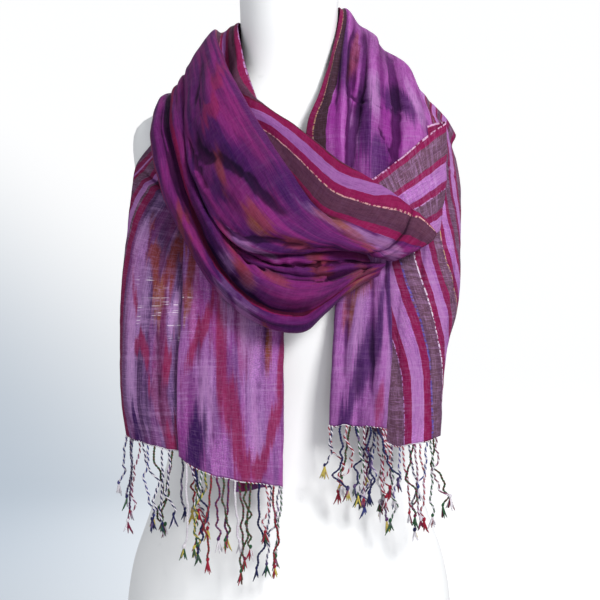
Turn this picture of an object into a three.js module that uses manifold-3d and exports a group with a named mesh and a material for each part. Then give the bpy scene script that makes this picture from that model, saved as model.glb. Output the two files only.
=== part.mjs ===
// A long woven scarf with striped borders and a twisted fringe, wound once round the neck of a
// limbless dress form. Millimetres, +Z up, the front of the form towards -Y, and the origin at
// the middle of the form's flat base.
//
// The scarf is modelled one stretch at a time, each a thin wall. A stretch is a table of
// sections: every row crosses the cloth, and its columns are the lines that run along it, such
// as a selvedge, a ridge or a valley. A smooth surface goes through them all.
import * as THREE from 'three';
import Module from 'manifold-3d';
import { mergeVertices } from 'three/addons/utils/BufferGeometryUtils.js';

const wasm = await Module();
wasm.setup();

// Driving dimensions
const clothThickness = 1.2;
const strandPitch = 8; // from one fringe strand to the next along a hem
const strandRadius = 1.25;
const strandLength = 84;
const strandTwist = 1.2; // radians from root to tip
const headerDepth = 2.6; // the narrow strip that the strands hang from
const headerThickness = 3.2;
const seamGap = 0.4;
const finestDetail = 0.05;
const weldDistance = 0.01;

const linen = (name, colour) =>
  new THREE.MeshStandardMaterial({ name, color: colour, roughness: 0.92, metalness: 0 });
const materials = {
  field: linen('ikat_cloth', 0x8f3f93),
  border: linen('striped_border', 0x8a3566),
  fringe: linen('twisted_fringe', 0xb9a7bd),
  form: new THREE.MeshStandardMaterial({
    name: 'dress_form', color: 0xeceef0, roughness: 0.45, metalness: 0,
  }),
};

// The form, one row for each level
const formColumns = ['z', 'halfWidth', 'front', 'back', 'squareness'];
const formLevels = [
  [0, 160, 98, 114, 2.2],
  [60, 169, 103, 121, 2.2],
  [120, 169, 103, 119, 2.2],
  [170, 162, 100, 111, 2.2],
  [215, 147, 95, 98, 2.2],
  [280, 126, 90, 83, 2.2],
  [340, 128, 94, 84, 2.2],
  [400, 138, 106, 92, 2.25],
  [450, 147, 113, 97, 2.3],
  [500, 152, 105, 101, 2.35],
  [550, 157, 90, 102, 2.5],
  [580, 161, 77, 97, 2.8],
  [604, 163, 66, 87, 2.9],
  [621, 159, 58, 77, 2.8],
  [634, 143, 53, 68, 2.5],
  [646, 112, 50, 61, 2.2],
  [660, 78, 48, 57, 2.0],
  [674, 57, 48, 54, 2.0],
  [694, 51, 49, 53, 2.0],
  [730, 51, 53, 51, 2.0],
  [780, 52, 55, 50, 2.0],
  [788, 49, 52, 47, 2.0],
];
const formSides = 30;
const formStep = 28; // height of one band of faces

// Value of a column at height z, smooth between the rows
function levelValue(z, column) {
  const rows = formLevels;
  const last = rows.length - 1;
  const at = Math.min(Math.max(z, rows[0][0]), rows[last][0]);
  let k = 0;
  while (k < last - 1 && at > rows[k + 1][0]) k += 1;
  const slope = (i) => {
    const lo = rows[Math.max(i - 1, 0)];
    const hi = rows[Math.min(i + 1, last)];
    return (hi[column] - lo[column]) / (hi[0] - lo[0]);
  };
  const span = rows[k + 1][0] - rows[k][0];
  const t = (at - rows[k][0]) / span;
  const t2 = t * t;
  const t3 = t2 * t;
  return (2 * t3 - 3 * t2 + 1) * rows[k][column] + (t3 - 2 * t2 + t) * span * slope(k)
    + (3 * t2 - 2 * t3) * rows[k + 1][column] + (t3 - t2) * span * slope(k + 1);
}

function formSection(z) {
  const section = { z };
  formColumns.forEach((name, column) => {
    if (column) section[name] = levelValue(z, column);
  });
  return section;
}

// A point of the form's surface, at an angle counted from +X towards +Y
function formPoint(z, angle) {
  const { halfWidth, front, back, squareness } = formSection(z);
  const bent = (value) => Math.sign(value) * Math.abs(value) ** (2 / squareness);
  const depth = Math.sin(angle) < 0 ? front : back;
  return new THREE.Vector3(halfWidth * bent(Math.cos(angle)), depth * bent(Math.sin(angle)), z);
}

// 1 on the form's surface, under 1 inside it and over 1 outside
function formShare({ x, y, z }) {
  const { halfWidth, front, back, squareness } = formSection(z);
  const depth = y < 0 ? front : back;
  const sum = (Math.abs(x) / halfWidth) ** squareness + (Math.abs(y) / depth) ** squareness;
  return sum ** (1 / squareness);
}

// Moves a point straight out of the form until it is at least that far from it
function offForm(point, gap) {
  const p = point.clone();
  const reach = 0.5;
  for (let step = 0; step < 10; step += 1) {
    const here = formShare(p);
    const slope = new THREE.Vector3(...['x', 'y', 'z'].map((axis) => {
      const aside = p.clone();
      aside[axis] += reach;
      return (formShare(aside) - here) / reach;
    }));
    const steepness = Math.max(slope.length(), 1e-6);
    const distance = (here - 1) / steepness;
    if (distance >= gap) break;
    p.addScaledVector(slope.divideScalar(steepness), gap - distance);
  }
  return p;
}

// Catmull-Rom curve through evenly counted points, at t from 0 to 1
function through(points, t) {
  const spans = points.length - 1;
  const at = Math.min(t * spans, spans - 1e-9);
  const k = Math.floor(at);
  const s = at - k;
  const [p1, p2] = [points[k], points[k + 1]];
  const p0 = points[k - 1] ?? p1.clone().multiplyScalar(2).sub(p2);
  const p3 = points[k + 2] ?? p2.clone().multiplyScalar(2).sub(p1);
  const weights = [
    -0.5 * s + s * s - 0.5 * s ** 3,
    1 - 2.5 * s * s + 1.5 * s ** 3,
    0.5 * s + 2 * s * s - 1.5 * s ** 3,
    -0.5 * s * s + 0.5 * s ** 3,
  ];
  const out = new THREE.Vector3();
  [p0, p1, p2, p3].forEach((p, i) => out.addScaledVector(p, weights[i]));
  return out;
}

const steps = (count) => Array.from({ length: count + 1 }, (_, i) => i / count);

// The surface through a table of sections: a grid of points, kept off the form
function drape(sections, along, across, gap) {
  const crossed = sections.map((row) => {
    const line = row.map((p) => new THREE.Vector3(...p));
    return steps(across).map((t) => through(line, t));
  });
  return steps(along).map((t) => steps(across).map((_, j) => {
    const column = crossed.map((row) => row[j]);
    return offForm(through(column, t), gap);
  }));
}

function gridNormal(grid, i, j) {
  const at = (a, b) => grid[Math.min(Math.max(a, 0), grid.length - 1)][
    Math.min(Math.max(b, 0), grid[0].length - 1)];
  const lengthwise = at(i + 1, j).clone().sub(at(i - 1, j));
  const crosswise = at(i, j + 1).clone().sub(at(i, j - 1));
  return lengthwise.cross(crosswise).normalize();
}

// A closed wall of even thickness round a grid of points
function wall(grid, thickness) {
  const rows = grid.length;
  const columns = grid[0].length;
  const faces = [1, -1].map((side) => grid.map((row, i) => row.map((p, j) =>
    p.clone().addScaledVector(gridNormal(grid, i, j), (side * thickness) / 2))));
  const points = faces.flat(2);
  const index = (side, i, j) => side * rows * columns + i * columns + j;
  const triangles = [];
  const quad = (a, b, c, d) => triangles.push(a, b, c, a, c, d);
  for (let i = 0; i + 1 < rows; i += 1) {
    for (let j = 0; j + 1 < columns; j += 1) {
      quad(index(0, i, j), index(0, i + 1, j), index(0, i + 1, j + 1), index(0, i, j + 1));
      quad(index(1, i, j), index(1, i, j + 1), index(1, i + 1, j + 1), index(1, i + 1, j));
    }
  }
  const rim = [];
  for (let i = 0; i < rows; i += 1) rim.push([i, 0]);
  for (let j = 1; j < columns; j += 1) rim.push([rows - 1, j]);
  for (let i = rows - 2; i >= 0; i -= 1) rim.push([i, columns - 1]);
  for (let j = columns - 2; j > 0; j -= 1) rim.push([0, j]);
  rim.forEach(([i, j], k) => {
    const [m, n] = rim[(k + 1) % rim.length];
    quad(index(0, i, j), index(1, i, j), index(1, m, n), index(0, m, n));
  });
  return geometryOf(points, triangles);
}

function geometryOf(points, triangles) {
  const geometry = new THREE.BufferGeometry().setFromPoints(points);
  geometry.setIndex(triangles);
  return geometry;
}

function mesh(name, geometry, material) {
  geometry.computeVertexNormals();
  const made = new THREE.Mesh(geometry, material);
  made.name = name;
  return made;
}

function solidOf(geometry) {
  const bare = geometry.clone();
  bare.deleteAttribute('normal');
  bare.deleteAttribute('uv');
  const merged = mergeVertices(bare, 1e-4);
  return new wasm.Manifold(new wasm.Mesh({
    numProp: 3,
    vertProperties: new Float32Array(merged.attributes.position.array),
    triVerts: new Uint32Array(merged.index.array),
  }));
}

const largestBody = (solid) =>
  solid.decompose().reduce((a, b) => (a.volume() > b.volume() ? a : b));

// A solid's surface, with corners that lie closer than weldDistance made one and no faces that
// matter less than finestDetail to its shape
function geometryFrom(solid) {
  const { vertProperties, triVerts } = solid.asOriginal().simplify(finestDetail).getMesh();
  const geometry = new THREE.BufferGeometry();
  geometry.setAttribute('position', new THREE.BufferAttribute(new Float32Array(vertProperties), 3));
  geometry.setIndex(Array.from(triVerts));
  const welded = mergeVertices(geometry, weldDistance);
  const corners = Array.from(welded.index.array);
  const kept = [];
  for (let k = 0; k < corners.length; k += 3) {
    const face = corners.slice(k, k + 3);
    if (new Set(face).size === 3) kept.push(...face);
  }
  welded.setIndex(kept);
  return welded;
}

function dressForm() {
  const top = formLevels.at(-1)[0];
  const bands = Math.round(top / formStep);
  const levels = steps(bands).map((t) => t * top);
  const ring = (z) => Array.from({ length: formSides }, (_, k) =>
    formPoint(z, (k / formSides) * 2 * Math.PI));
  const points = [
    ...levels.flatMap(ring),
    new THREE.Vector3(0, 0, 0),
    new THREE.Vector3(0, 0, top),
  ];
  const [bottomCentre, topCentre] = [points.length - 2, points.length - 1];
  const triangles = [];
  for (let i = 0; i < bands; i += 1) {
    for (let k = 0; k < formSides; k += 1) {
      const next = (k + 1) % formSides;
      const [a, b] = [i * formSides + k, i * formSides + next];
      const [c, d] = [a + formSides, b + formSides];
      triangles.push(a, b, d, a, d, c);
    }
  }
  for (let k = 0; k < formSides; k += 1) {
    const next = (k + 1) % formSides;
    triangles.push(bottomCentre, next, k);
    triangles.push(topCentre, bands * formSides + k, bands * formSides + next);
  }
  return mesh('dress_form', geometryOf(points, triangles), materials.form);
}

// Points at a radius from the neck's axis, in the direction of an angle, at a height
const neckAxisY = 3;
function aroundNeck(degrees, profile) {
  const angle = THREE.MathUtils.degToRad(degrees);
  return profile.map(([radius, z]) =>
    [radius * Math.cos(angle), neckAxisY + radius * Math.sin(angle), z]);
}

// Radius and height of the bundled cloth where it meets the stretch behind the neck
const seamAngle = { right: 43.5, left: 136.5 };
const seamOpening = 0.6; // degrees between the ends of two stretches
const seamProfile = {
  rightField: [[54, 736], [58, 742], [66, 744], [75, 738], [85, 729], [94, 717], [101, 703], [107, 688]],
  rightBorder: [[109, 682], [112, 672], [114, 662], [116, 651], [117, 640], [118, 629]],
  leftSwag: [[54, 728], [58, 733], [64, 735], [71, 731], [78, 724], [85, 716], [92, 707], [98, 696],
    [104, 684], [108, 671], [111, 660]],
  leftPleats: [[112, 654], [116, 648], [117, 642], [115, 636], [118, 630], [119, 624], [116, 618]],
};

// Right end, from behind the neck down to its hem. Columns: selvedge by the neck, valley,
// first ridge (the panel's left fold lower down), valley, second ridge, valley, third ridge
// (the panel's right fold), outer edge
const rightField = [
  aroundNeck(seamAngle.right, seamProfile.rightField),
  [[53, 8, 749], [57, 5, 746], [63, 3, 746], [74, 6, 730], [86, 3, 722], [98, 6, 705], [117, 0, 692],
    [129, 3, 670]],
  [[47, -28, 706], [51, -34, 704], [57, -42, 705], [71, -36, 692], [86, -45, 690], [103, -36, 676],
    [123, -38, 672], [137, -28, 652]],
  [[33, -58, 657], [39, -62, 655], [54, -74, 656], [66, -66, 648], [84, -79, 646], [105, -66, 637],
    [128, -70, 634], [146, -54, 622]],
  [[18, -78, 612], [26, -83, 610], [50, -96, 610], [60, -88, 604], [82, -99, 602], [106, -89, 596],
    [130, -90, 594], [148, -76, 588]],
  [[24, -97, 548], [34, -101, 547], [50, -109, 546], [60, -104, 546], [80, -111, 546], [104, -105, 545],
    [124, -104, 544], [136, -98, 543]],
  [[62, -106, 480], [54, -107, 480], [50, -114, 478], [64, -115, 478], [78, -117, 478], [90, -115, 478],
    [102, -113, 478], [97, -107, 478]],
  [[70, -111, 392], [53, -113, 392], [44, -122, 392], [58, -126, 392], [73, -123, 392], [89, -127, 392],
    [102, -123, 392], [95, -116, 392]],
  [[66, -110, 318], [51, -113, 318], [40, -121, 319], [55, -126, 318], [69, -122, 317], [84, -127, 316],
    [96, -123, 315], [89, -116, 315]],
];

// The striped border of the right end. Columns: edge under the panel, front, middle, fold
// edge, outer stripes, selvedge
const rightBorder = [
  aroundNeck(seamAngle.right, seamProfile.rightBorder),
  [[131, 4, 666], [138, 3, 658], [145, 2, 650], [153, 2, 641], [161, 2, 631], [168, 4, 619]],
  [[138, -30, 647], [144, -28, 640], [151, -24, 632], [158, -19, 623], [165, -13, 613], [170, -5, 601]],
  [[142, -54, 617], [149, -50, 613], [156, -44, 608], [163, -37, 601], [169, -29, 593], [174, -19, 584]],
  [[130, -90, 568], [140, -86, 566], [151, -79, 563], [162, -68, 560], [170, -57, 557], [176, -44, 553]],
  [[104, -102, 492], [122, -102, 491], [141, -97, 490], [157, -89, 489], [168, -78, 489],
    [174, -65, 489]],
  [[94, -108, 436], [112, -110, 435], [135, -109, 434], [153, -101, 434], [164, -90, 434],
    [170, -77, 434]],
  [[90, -111, 370], [108, -115, 370], [129, -114, 370], [147, -106, 370], [155, -96, 371],
    [153, -86, 371]],
  [[84, -110, 312], [102, -116, 298], [119, -120, 299], [139, -116, 302], [151, -103, 306],
    [147, -92, 309]],
];

// The cloth that turns back at the right shoulder. Columns: selvedge, outer grey stripe,
// middle, inner grey stripe, lower edge
const rightTurn = [
  [[60, -114, 548], [67, -117, 534], [75, -119, 519], [84, -121, 504], [94, -122, 490]],
  [[82, -113, 560], [90, -116, 543], [98, -118, 526], [107, -120, 510], [116, -120, 495]],
  [[110, -104, 581], [117, -109, 561], [124, -112, 541], [130, -114, 521], [136, -113, 502]],
  [[138, -90, 605], [142, -96, 580], [145, -101, 556], [147, -105, 531], [148, -105, 508]],
  [[158, -74, 620], [159, -82, 593], [158, -88, 566], [155, -94, 538], [151, -98, 511]],
  [[151, -64, 621], [152, -73, 594], [152, -80, 567], [149, -87, 540], [144, -92, 514]],
  [[136, -68, 616], [138, -78, 590], [139, -86, 565], [138, -92, 540], [132, -96, 516]],
];

// Outer panel of the left end. Columns: edge under the front panel, front, middle, fold
// edge, selvedge
const leftSide = [
  [[-60, -52, 650], [-74, -54, 643], [-90, -54, 636], [-105, -52, 629], [-118, -48, 623]],
  [[-70, -70, 600], [-88, -71, 602], [-106, -69, 603], [-123, -63, 603], [-138, -53, 602]],
  [[-76, -82, 566], [-96, -82, 568], [-117, -77, 571], [-139, -66, 575], [-156, -48, 579]],
  [[-80, -90, 530], [-101, -89, 533], [-124, -83, 537], [-146, -71, 543], [-160, -55, 550]],
  [[-86, -101, 488], [-108, -100, 490], [-131, -94, 493], [-152, -83, 498], [-164, -68, 504]],
  [[-90, -110, 440], [-112, -112, 440], [-136, -110, 440], [-156, -101, 440], [-168, -87, 441]],
  [[-90, -112, 385], [-113, -118, 385], [-138, -117, 385], [-159, -109, 385], [-168, -94, 386]],
  [[-89, -112, 340], [-113, -119, 340], [-139, -119, 340], [-158, -112, 341], [-166, -99, 342]],
  [[-88, -110, 294], [-108, -119, 293], [-131, -121, 297], [-150, -115, 303], [-161, -103, 307]],
];

// Front panel of the left end. Columns: left turn-under, left fold, three lines of the front,
// right fold, right turn-under, back layer
const leftFront = [
  [[-76, -70, 590], [-82, -75, 590], [-70, -79, 592], [-57, -80, 594], [-45, -79, 595], [-36, -76, 596],
    [-38, -71, 596], [-50, -71, 595]],
  [[-92, -92, 542], [-99, -97, 542], [-82, -103, 543], [-61, -105, 544], [-42, -104, 545],
    [-27, -101, 546], [-31, -95, 546], [-48, -96, 545]],
  [[-94, -107, 480], [-104, -112, 480], [-84, -117, 480], [-60, -119, 480], [-34, -118, 480],
    [-12, -116, 480], [-16, -110, 480], [-44, -112, 480]],
  [[-93, -114, 436], [-104, -119, 436], [-84, -125, 436], [-58, -126, 436], [-32, -125, 436],
    [-6, -121, 436], [-12, -114, 436], [-48, -116, 436]],
  [[-96, -118, 385], [-108, -124, 385], [-85, -129, 385], [-58, -130, 385], [-31, -129, 385],
    [-6, -123, 385], [-13, -116, 385], [-50, -119, 385]],
  [[-97, -120, 330], [-109, -125, 330], [-86, -131, 330], [-58, -132, 330], [-31, -130, 330],
    [-6, -124, 330], [-13, -117, 330], [-52, -120, 330]],
  [[-95, -120, 288], [-107, -125, 287], [-82, -132, 273], [-56, -133, 265], [-30, -131, 261],
    [-7, -125, 258], [-13, -118, 257], [-54, -120, 252]],
];

// The loop across the chest, from behind the neck to its turned tip. Columns: selvedge,
// collar, folded upper edge, middle stripe, inner stripe, tuck under the roll, edge of the
// roll, three lines down its front, edge underneath
const frontSwag = [
  aroundNeck(seamAngle.left, seamProfile.leftSwag),
  [[-53, -2, 731], [-57, 1, 730], [-62, 5, 727], [-66, 8, 724], [-70, 10, 722], [-74, 8, 722],
    [-78, 0, 725], [-86, -3, 716], [-94, -4, 704], [-102, -4, 689], [-106, 3, 679]],
  [[-48, -36, 696], [-53, -42, 694], [-58, -42, 684], [-62, -40, 678], [-66, -38, 674], [-69, -40, 676],
    [-68, -48, 692], [-77, -57, 688], [-90, -61, 674], [-100, -58, 659], [-104, -52, 651]],
  [[-39, -55, 665], [-45, -60, 664], [-52, -67, 660], [-56, -68, 650], [-60, -68, 643], [-62, -72, 640],
    [-51, -84, 655], [-63, -97, 652], [-83, -102, 635], [-99, -96, 608], [-102, -93, 600]],
  [[-25, -66, 632], [-24, -73, 634], [-20, -80, 634], [-19, -90, 620], [-21, -96, 604], [-28, -99, 597],
    [-27, -109, 613], [-42, -124, 609], [-66, -130, 591], [-88, -121, 563], [-91, -117, 557]],
  [[8, -84, 600], [10, -90, 606], [14, -98, 609], [11, -106, 592], [8, -112, 574], [0, -116, 563],
    [-8, -128, 582], [-24, -142, 576], [-46, -149, 555], [-65, -142, 522], [-70, -139, 515]],
  [[47, -108, 566], [49, -114, 574], [51, -119, 577], [45, -125, 560], [38, -129, 542], [28, -131, 529],
    [21, -141, 537], [4, -153, 530], [-17, -158, 514], [-36, -152, 494], [-41, -149, 489]],
  [[77, -120, 549], [79, -124, 556], [81, -127, 559], [74, -133, 542], [65, -137, 527], [56, -140, 517],
    [46, -146, 514], [34, -153, 507], [20, -157, 499], [4, -151, 490], [-2, -144, 487]],
  [[97, -122, 536], [99, -126, 543], [101, -129, 546], [95, -135, 530], [87, -139, 517],
    [79, -142, 508], [70, -146, 503], [59, -151, 498], [48, -153, 495], [36, -149, 491],
    [29, -142, 489]],
  [[114, -121, 524], [116, -125, 531], [118, -127, 533], [113, -133, 519], [106, -137, 508],
    [98, -140, 500], [90, -142, 495], [81, -145, 492], [72, -146, 490], [63, -143, 490],
    [57, -136, 489]],
  [[129, -118, 512], [132, -121, 518], [134, -123, 520], [129, -129, 510], [122, -133, 501],
    [114, -136, 494], [107, -138, 489], [99, -140, 486], [91, -140, 484], [84, -137, 484],
    [79, -131, 485]],
  [[141, -115, 501], [144, -117, 504], [146, -118, 506], [141, -123, 500], [134, -127, 495],
    [127, -130, 491], [120, -132, 487], [113, -133, 484], [107, -132, 481], [101, -130, 479],
    [97, -127, 480]],
  [[138, -110, 498], [140, -111, 501], [141, -112, 502], [137, -116, 497], [131, -119, 493],
    [125, -122, 489], [119, -124, 486], [113, -126, 483], [107, -126, 481], [102, -125, 480],
    [98, -123, 481]],
];

// The parallel pleats below the roll, from behind the neck round the bottom of the loop and
// up to the tip. Columns: outer turn-under, outer fold, first ridge, valley, second rise,
// second ridge, inner edge under the roll
const swagPleats = [
  aroundNeck(seamAngle.left, [...seamProfile.leftPleats].reverse()),
  [[-126, 8, 642], [-133, 4, 644], [-128, -2, 655], [-120, 3, 660], [-115, -3, 668], [-110, -6, 676],
    [-107, 5, 670]],
  [[-131, -47, 616], [-140, -50, 618], [-136, -62, 624], [-127, -54, 624], [-118, -64, 630],
    [-108, -64, 637], [-105, -52, 634]],
  [[-128, -72, 584], [-137, -75, 588], [-131, -89, 592], [-121, -79, 594], [-111, -90, 598],
    [-100, -88, 602], [-99, -79, 597]],
  [[-115, -93, 541], [-125, -97, 545], [-119, -111, 549], [-108, -100, 552], [-98, -113, 556],
    [-88, -110, 560], [-88, -97, 556]],
  [[-95, -117, 500], [-104, -120, 503], [-98, -134, 508], [-88, -124, 511], [-78, -137, 515],
    [-68, -133, 519], [-69, -120, 516]],
  [[-72, -128, 461], [-80, -132, 463], [-75, -147, 469], [-66, -136, 474], [-57, -151, 480],
    [-46, -146, 486], [-47, -132, 484]],
  [[-46, -138, 436], [-51, -142, 432], [-46, -157, 440], [-40, -146, 446], [-31, -161, 456],
    [-21, -156, 466], [-23, -146, 468]],
  [[-16, -140, 421], [-19, -145, 414], [-16, -160, 422], [-12, -150, 431], [-4, -164, 444],
    [2, -159, 457], [0, -149, 460]],
  [[12, -138, 417], [14, -142, 410], [16, -157, 419], [16, -148, 430], [21, -162, 443], [26, -156, 456],
    [23, -147, 460]],
  [[32, -134, 434], [36, -138, 428], [39, -149, 435], [39, -144, 443], [44, -154, 451], [47, -149, 460],
    [44, -142, 463]],
  [[58, -130, 453], [62, -133, 450], [65, -140, 456], [66, -138, 461], [69, -144, 465], [72, -141, 470],
    [69, -135, 472]],
  [[84, -126, 466], [88, -128, 465], [90, -131, 469], [91, -131, 471], [93, -133, 474], [95, -132, 476],
    [92, -127, 477]],
];

// The small gathers between the roll and the pleats. Columns: top edge, lip, groove, swell,
// lower edge
const swagGathers = [
  [[-68, -119, 524], [-69, -125, 520], [-69, -125, 516], [-68, -123, 512], [-68, -117, 508]],
  [[-48, -121, 504], [-47, -132, 495], [-46, -131, 489], [-46, -135, 484], [-45, -127, 477]],
  [[-22, -126, 498], [-21, -141, 481], [-19, -137, 477], [-18, -143, 472], [-16, -130, 462]],
  [[6, -127, 499], [8, -142, 481], [9, -138, 475], [10, -144, 468], [12, -130, 457]],
  [[32, -126, 498], [34, -140, 481], [34, -137, 475], [36, -142, 468], [36, -129, 458]],
  [[58, -123, 494], [60, -132, 482], [60, -130, 478], [60, -136, 472], [60, -126, 464]],
  [[76, -119, 487], [80, -126, 480], [80, -125, 477], [80, -128, 474], [79, -123, 470]],
];

// Behind the neck, between the two seams. Columns run from the neck over the collar and down
const napeProfiles = {
  right: [[56, 739], [60, 746], [68, 748], [78, 742], [86, 733], [94, 721], [99, 706], [106, 691],
    [108, 674], [113, 659], [113, 645], [110, 631]],
  middle: [[57, 739], [61, 746], [68, 749], [78, 743], [84, 733], [92, 722], [96, 706], [102, 691],
    [103, 673], [107, 658], [106, 643], [103, 629]],
  left: [[56, 734], [60, 741], [68, 744], [77, 738], [84, 729], [92, 718], [98, 702], [105, 688],
    [107, 670], [112, 655], [112, 640], [109, 626]],
};
const napeWrap = [
  aroundNeck(seamAngle.right + seamOpening, [...seamProfile.rightField, ...seamProfile.rightBorder]),
  aroundNeck(66, napeProfiles.right),
  aroundNeck(90, napeProfiles.middle),
  aroundNeck(114, napeProfiles.left),
  aroundNeck(seamAngle.left - seamOpening, [...seamProfile.leftSwag, ...seamProfile.leftPleats]),
];

// The second turn, across the back from the right shoulder to the left end. Columns: upper
// edge, then ridges and valleys down to the lower edge
const backWrap = [
  [[-58, -40, 662], [-71, -42, 656], [-84, -43, 650], [-96, -42, 645], [-107, -41, 640],
    [-116, -38, 635]],
  [[-60, 8, 674], [-72, 10, 668], [-84, 8, 664], [-96, 10, 659], [-108, 8, 655], [-119, 6, 650]],
  [[-58, 40, 666], [-74, 48, 658], [-91, 55, 646], [-107, 61, 633], [-122, 66, 618], [-136, 70, 600]],
  [[-50, 72, 646], [-64, 84, 632], [-78, 91, 612], [-90, 98, 592], [-101, 95, 568], [-110, 94, 544]],
  [[-28, 82, 640], [-34, 97, 622], [-41, 105, 597], [-47, 117, 570], [-52, 112, 537], [-56, 113, 506]],
  [[8, 84, 636], [8, 99, 618], [8, 107, 590], [8, 118, 560], [8, 112, 525], [8, 113, 490]],
  [[60, 82, 634], [65, 96, 614], [69, 103, 588], [71, 113, 560], [73, 106, 526], [75, 107, 492]],
  [[108, 66, 624], [118, 74, 606], [123, 78, 580], [127, 86, 556], [128, 80, 528], [129, 79, 500]],
  [[154, 14, 612], [165, 18, 594], [168, 18, 572], [171, 20, 552], [170, 18, 532], [168, 16, 512]],
  [[152, -22, 604], [162, -24, 588], [165, -26, 570], [167, -28, 552], [166, -30, 534], [164, -32, 516]],
];

// Name, sections, faces along, faces across, clearance from the form and material, from the
// stretch that lies underneath all others to the one on top
const stretches = [
  ['nape_wrap', napeWrap, 9, 15, 2, materials.field],
  ['back_wrap', backWrap, 22, 9, 7, materials.field],
  ['right_border', rightBorder, 16, 8, 5, materials.border],
  ['right_field', rightField, 19, 14, 2, materials.field],
  ['left_side', leftSide, 14, 8, 3, materials.border],
  ['left_front', leftFront, 12, 12, 2, materials.field],
  ['right_turn', rightTurn, 10, 6, 2, materials.border],
  ['swag_pleats', swagPleats, 22, 12, 3, materials.field],
  ['swag_gathers', swagGathers, 10, 6, 2, materials.field],
  ['front_swag', frontSwag, 21, 17, 2, materials.field],
];

// A repeatable number from 0 to 1 for a whole number
const scatter = (n) => {
  const value = Math.sin(n * 12.9898 + 4.1414) * 43758.5453;
  return value - Math.floor(value);
};

// Radius of a strand at a share of its length: twisted, knotted near its end, then a tuft
const strandShape = [[0, 1], [0.45, 0.9], [0.84, 1], [0.89, 1.8], [1, 0.7]];
const strandSides = 3;

function strand(root, number) {
  const length = strandLength * (0.82 + 0.32 * scatter(number));
  const sideways = 2.4 * (scatter(number + 50) - 0.5);
  const outwards = 12 * (scatter(number + 90) - 0.5);
  const points = [];
  strandShape.forEach(([share, width]) => {
    const sway = Math.sin(share * Math.PI * (1 + scatter(number + 20)));
    const centre = root.clone().add(new THREE.Vector3(
      sideways * sway, outwards * share * sway, -share * length));
    for (let k = 0; k < strandSides; k += 1) {
      const angle = (k / strandSides) * 2 * Math.PI + share * strandTwist;
      const radius = strandRadius * width;
      points.push(centre.clone().add(
        new THREE.Vector3(radius * Math.cos(angle), radius * Math.sin(angle), 0)));
    }
  });
  const triangles = [];
  const last = (strandShape.length - 1) * strandSides;
  for (let i = 0; i < last; i += strandSides) {
    for (let k = 0; k < strandSides; k += 1) {
      const next = (k + 1) % strandSides;
      const [a, b, c, d] = [i + k, i + next, i + strandSides + k, i + strandSides + next];
      triangles.push(a, c, d, a, d, b);
    }
  }
  triangles.push(0, 1, 2, last, last + 2, last + 1);
  return solidOf(geometryOf(points, triangles));
}

// Strands fused into a narrow strip that hangs just under a hem
function fringe(name, hem, firstNumber) {
  const header = [seamGap + clothThickness / 2, seamGap + clothThickness / 2 + headerDepth].map(
    (drop) => hem.map((p) => p.clone().add(new THREE.Vector3(0, 0, -drop))));
  let solid = solidOf(wall(header, headerThickness));
  const curve = new THREE.CatmullRomCurve3(hem, false, 'catmullrom', 0);
  const length = curve.getLength();
  const count = Math.floor((length - 2 * strandRadius) / strandPitch);
  for (let n = 0; n <= count; n += 1) {
    const at = (strandRadius + n * ((length - 2 * strandRadius) / count)) / length;
    const root = curve.getPointAt(at);
    root.z -= seamGap + clothThickness / 2 + headerDepth / 2;
    solid = solid.add(strand(root, firstNumber + n));
  }
  return mesh(name, geometryFrom(largestBody(solid)), materials.fringe);
}

// A grid carried on a little past all four of its edges
function extended(grid, reach) {
  const past = (edge, inner) => edge.clone().add(edge.clone().sub(inner).setLength(reach));
  const wider = grid.map((row) => [past(row[0], row[1]), ...row, past(row.at(-1), row.at(-2))]);
  const beyond = (edge, inner) => edge.map((p, j) => past(p, inner[j]));
  return [beyond(wider[0], wider[1]), ...wider, beyond(wider.at(-1), wider.at(-2))];
}

// What is left of a wall once room is made for the cloth that crosses it
function makeRoom(solid, upperGrids) {
  const room = upperGrids.map((grid) =>
    solidOf(wall(extended(grid, seamGap), clothThickness + 2 * seamGap)));
  return largestBody(room.reduce((left, taken) => left.subtract(taken), solid));
}

const scarf = new THREE.Group();
const hems = {};
const grids = stretches.map(([, sections, along, across, gap]) =>
  drape(sections, along, across, gap));
stretches.forEach(([name, , , , , material], k) => {
  const solid = makeRoom(solidOf(wall(grids[k], clothThickness)), grids.slice(k + 1));
  hems[name] = grids[k].at(-1);
  scarf.add(mesh(name, geometryFrom(solid), material));
});
// Each fringe hangs from the stretch of hem between two folds
const fringes = [
  ['left_side_fringe', hems.left_side, 0],
  ['left_front_fringe', hems.left_front.slice(2, 10), 100],
  ['right_field_fringe', hems.right_field.slice(4, 13), 200],
  ['right_border_fringe', hems.right_border.slice(0, 7), 300],
];
for (const [name, hem, firstNumber] of fringes) scarf.add(fringe(name, hem, firstNumber));

const part = new THREE.Group();
part.add(dressForm(), scarf);
export default part;
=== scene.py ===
# A long woven scarf with striped borders and a twisted fringe, wound once round the neck of a
# limbless dress form. Metres, +Z up, the front of the form towards -Y. The tables are in
# millimetres.
import math

import bpy
import numpy as np
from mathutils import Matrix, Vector
from mathutils.bvhtree import BVHTree


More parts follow.
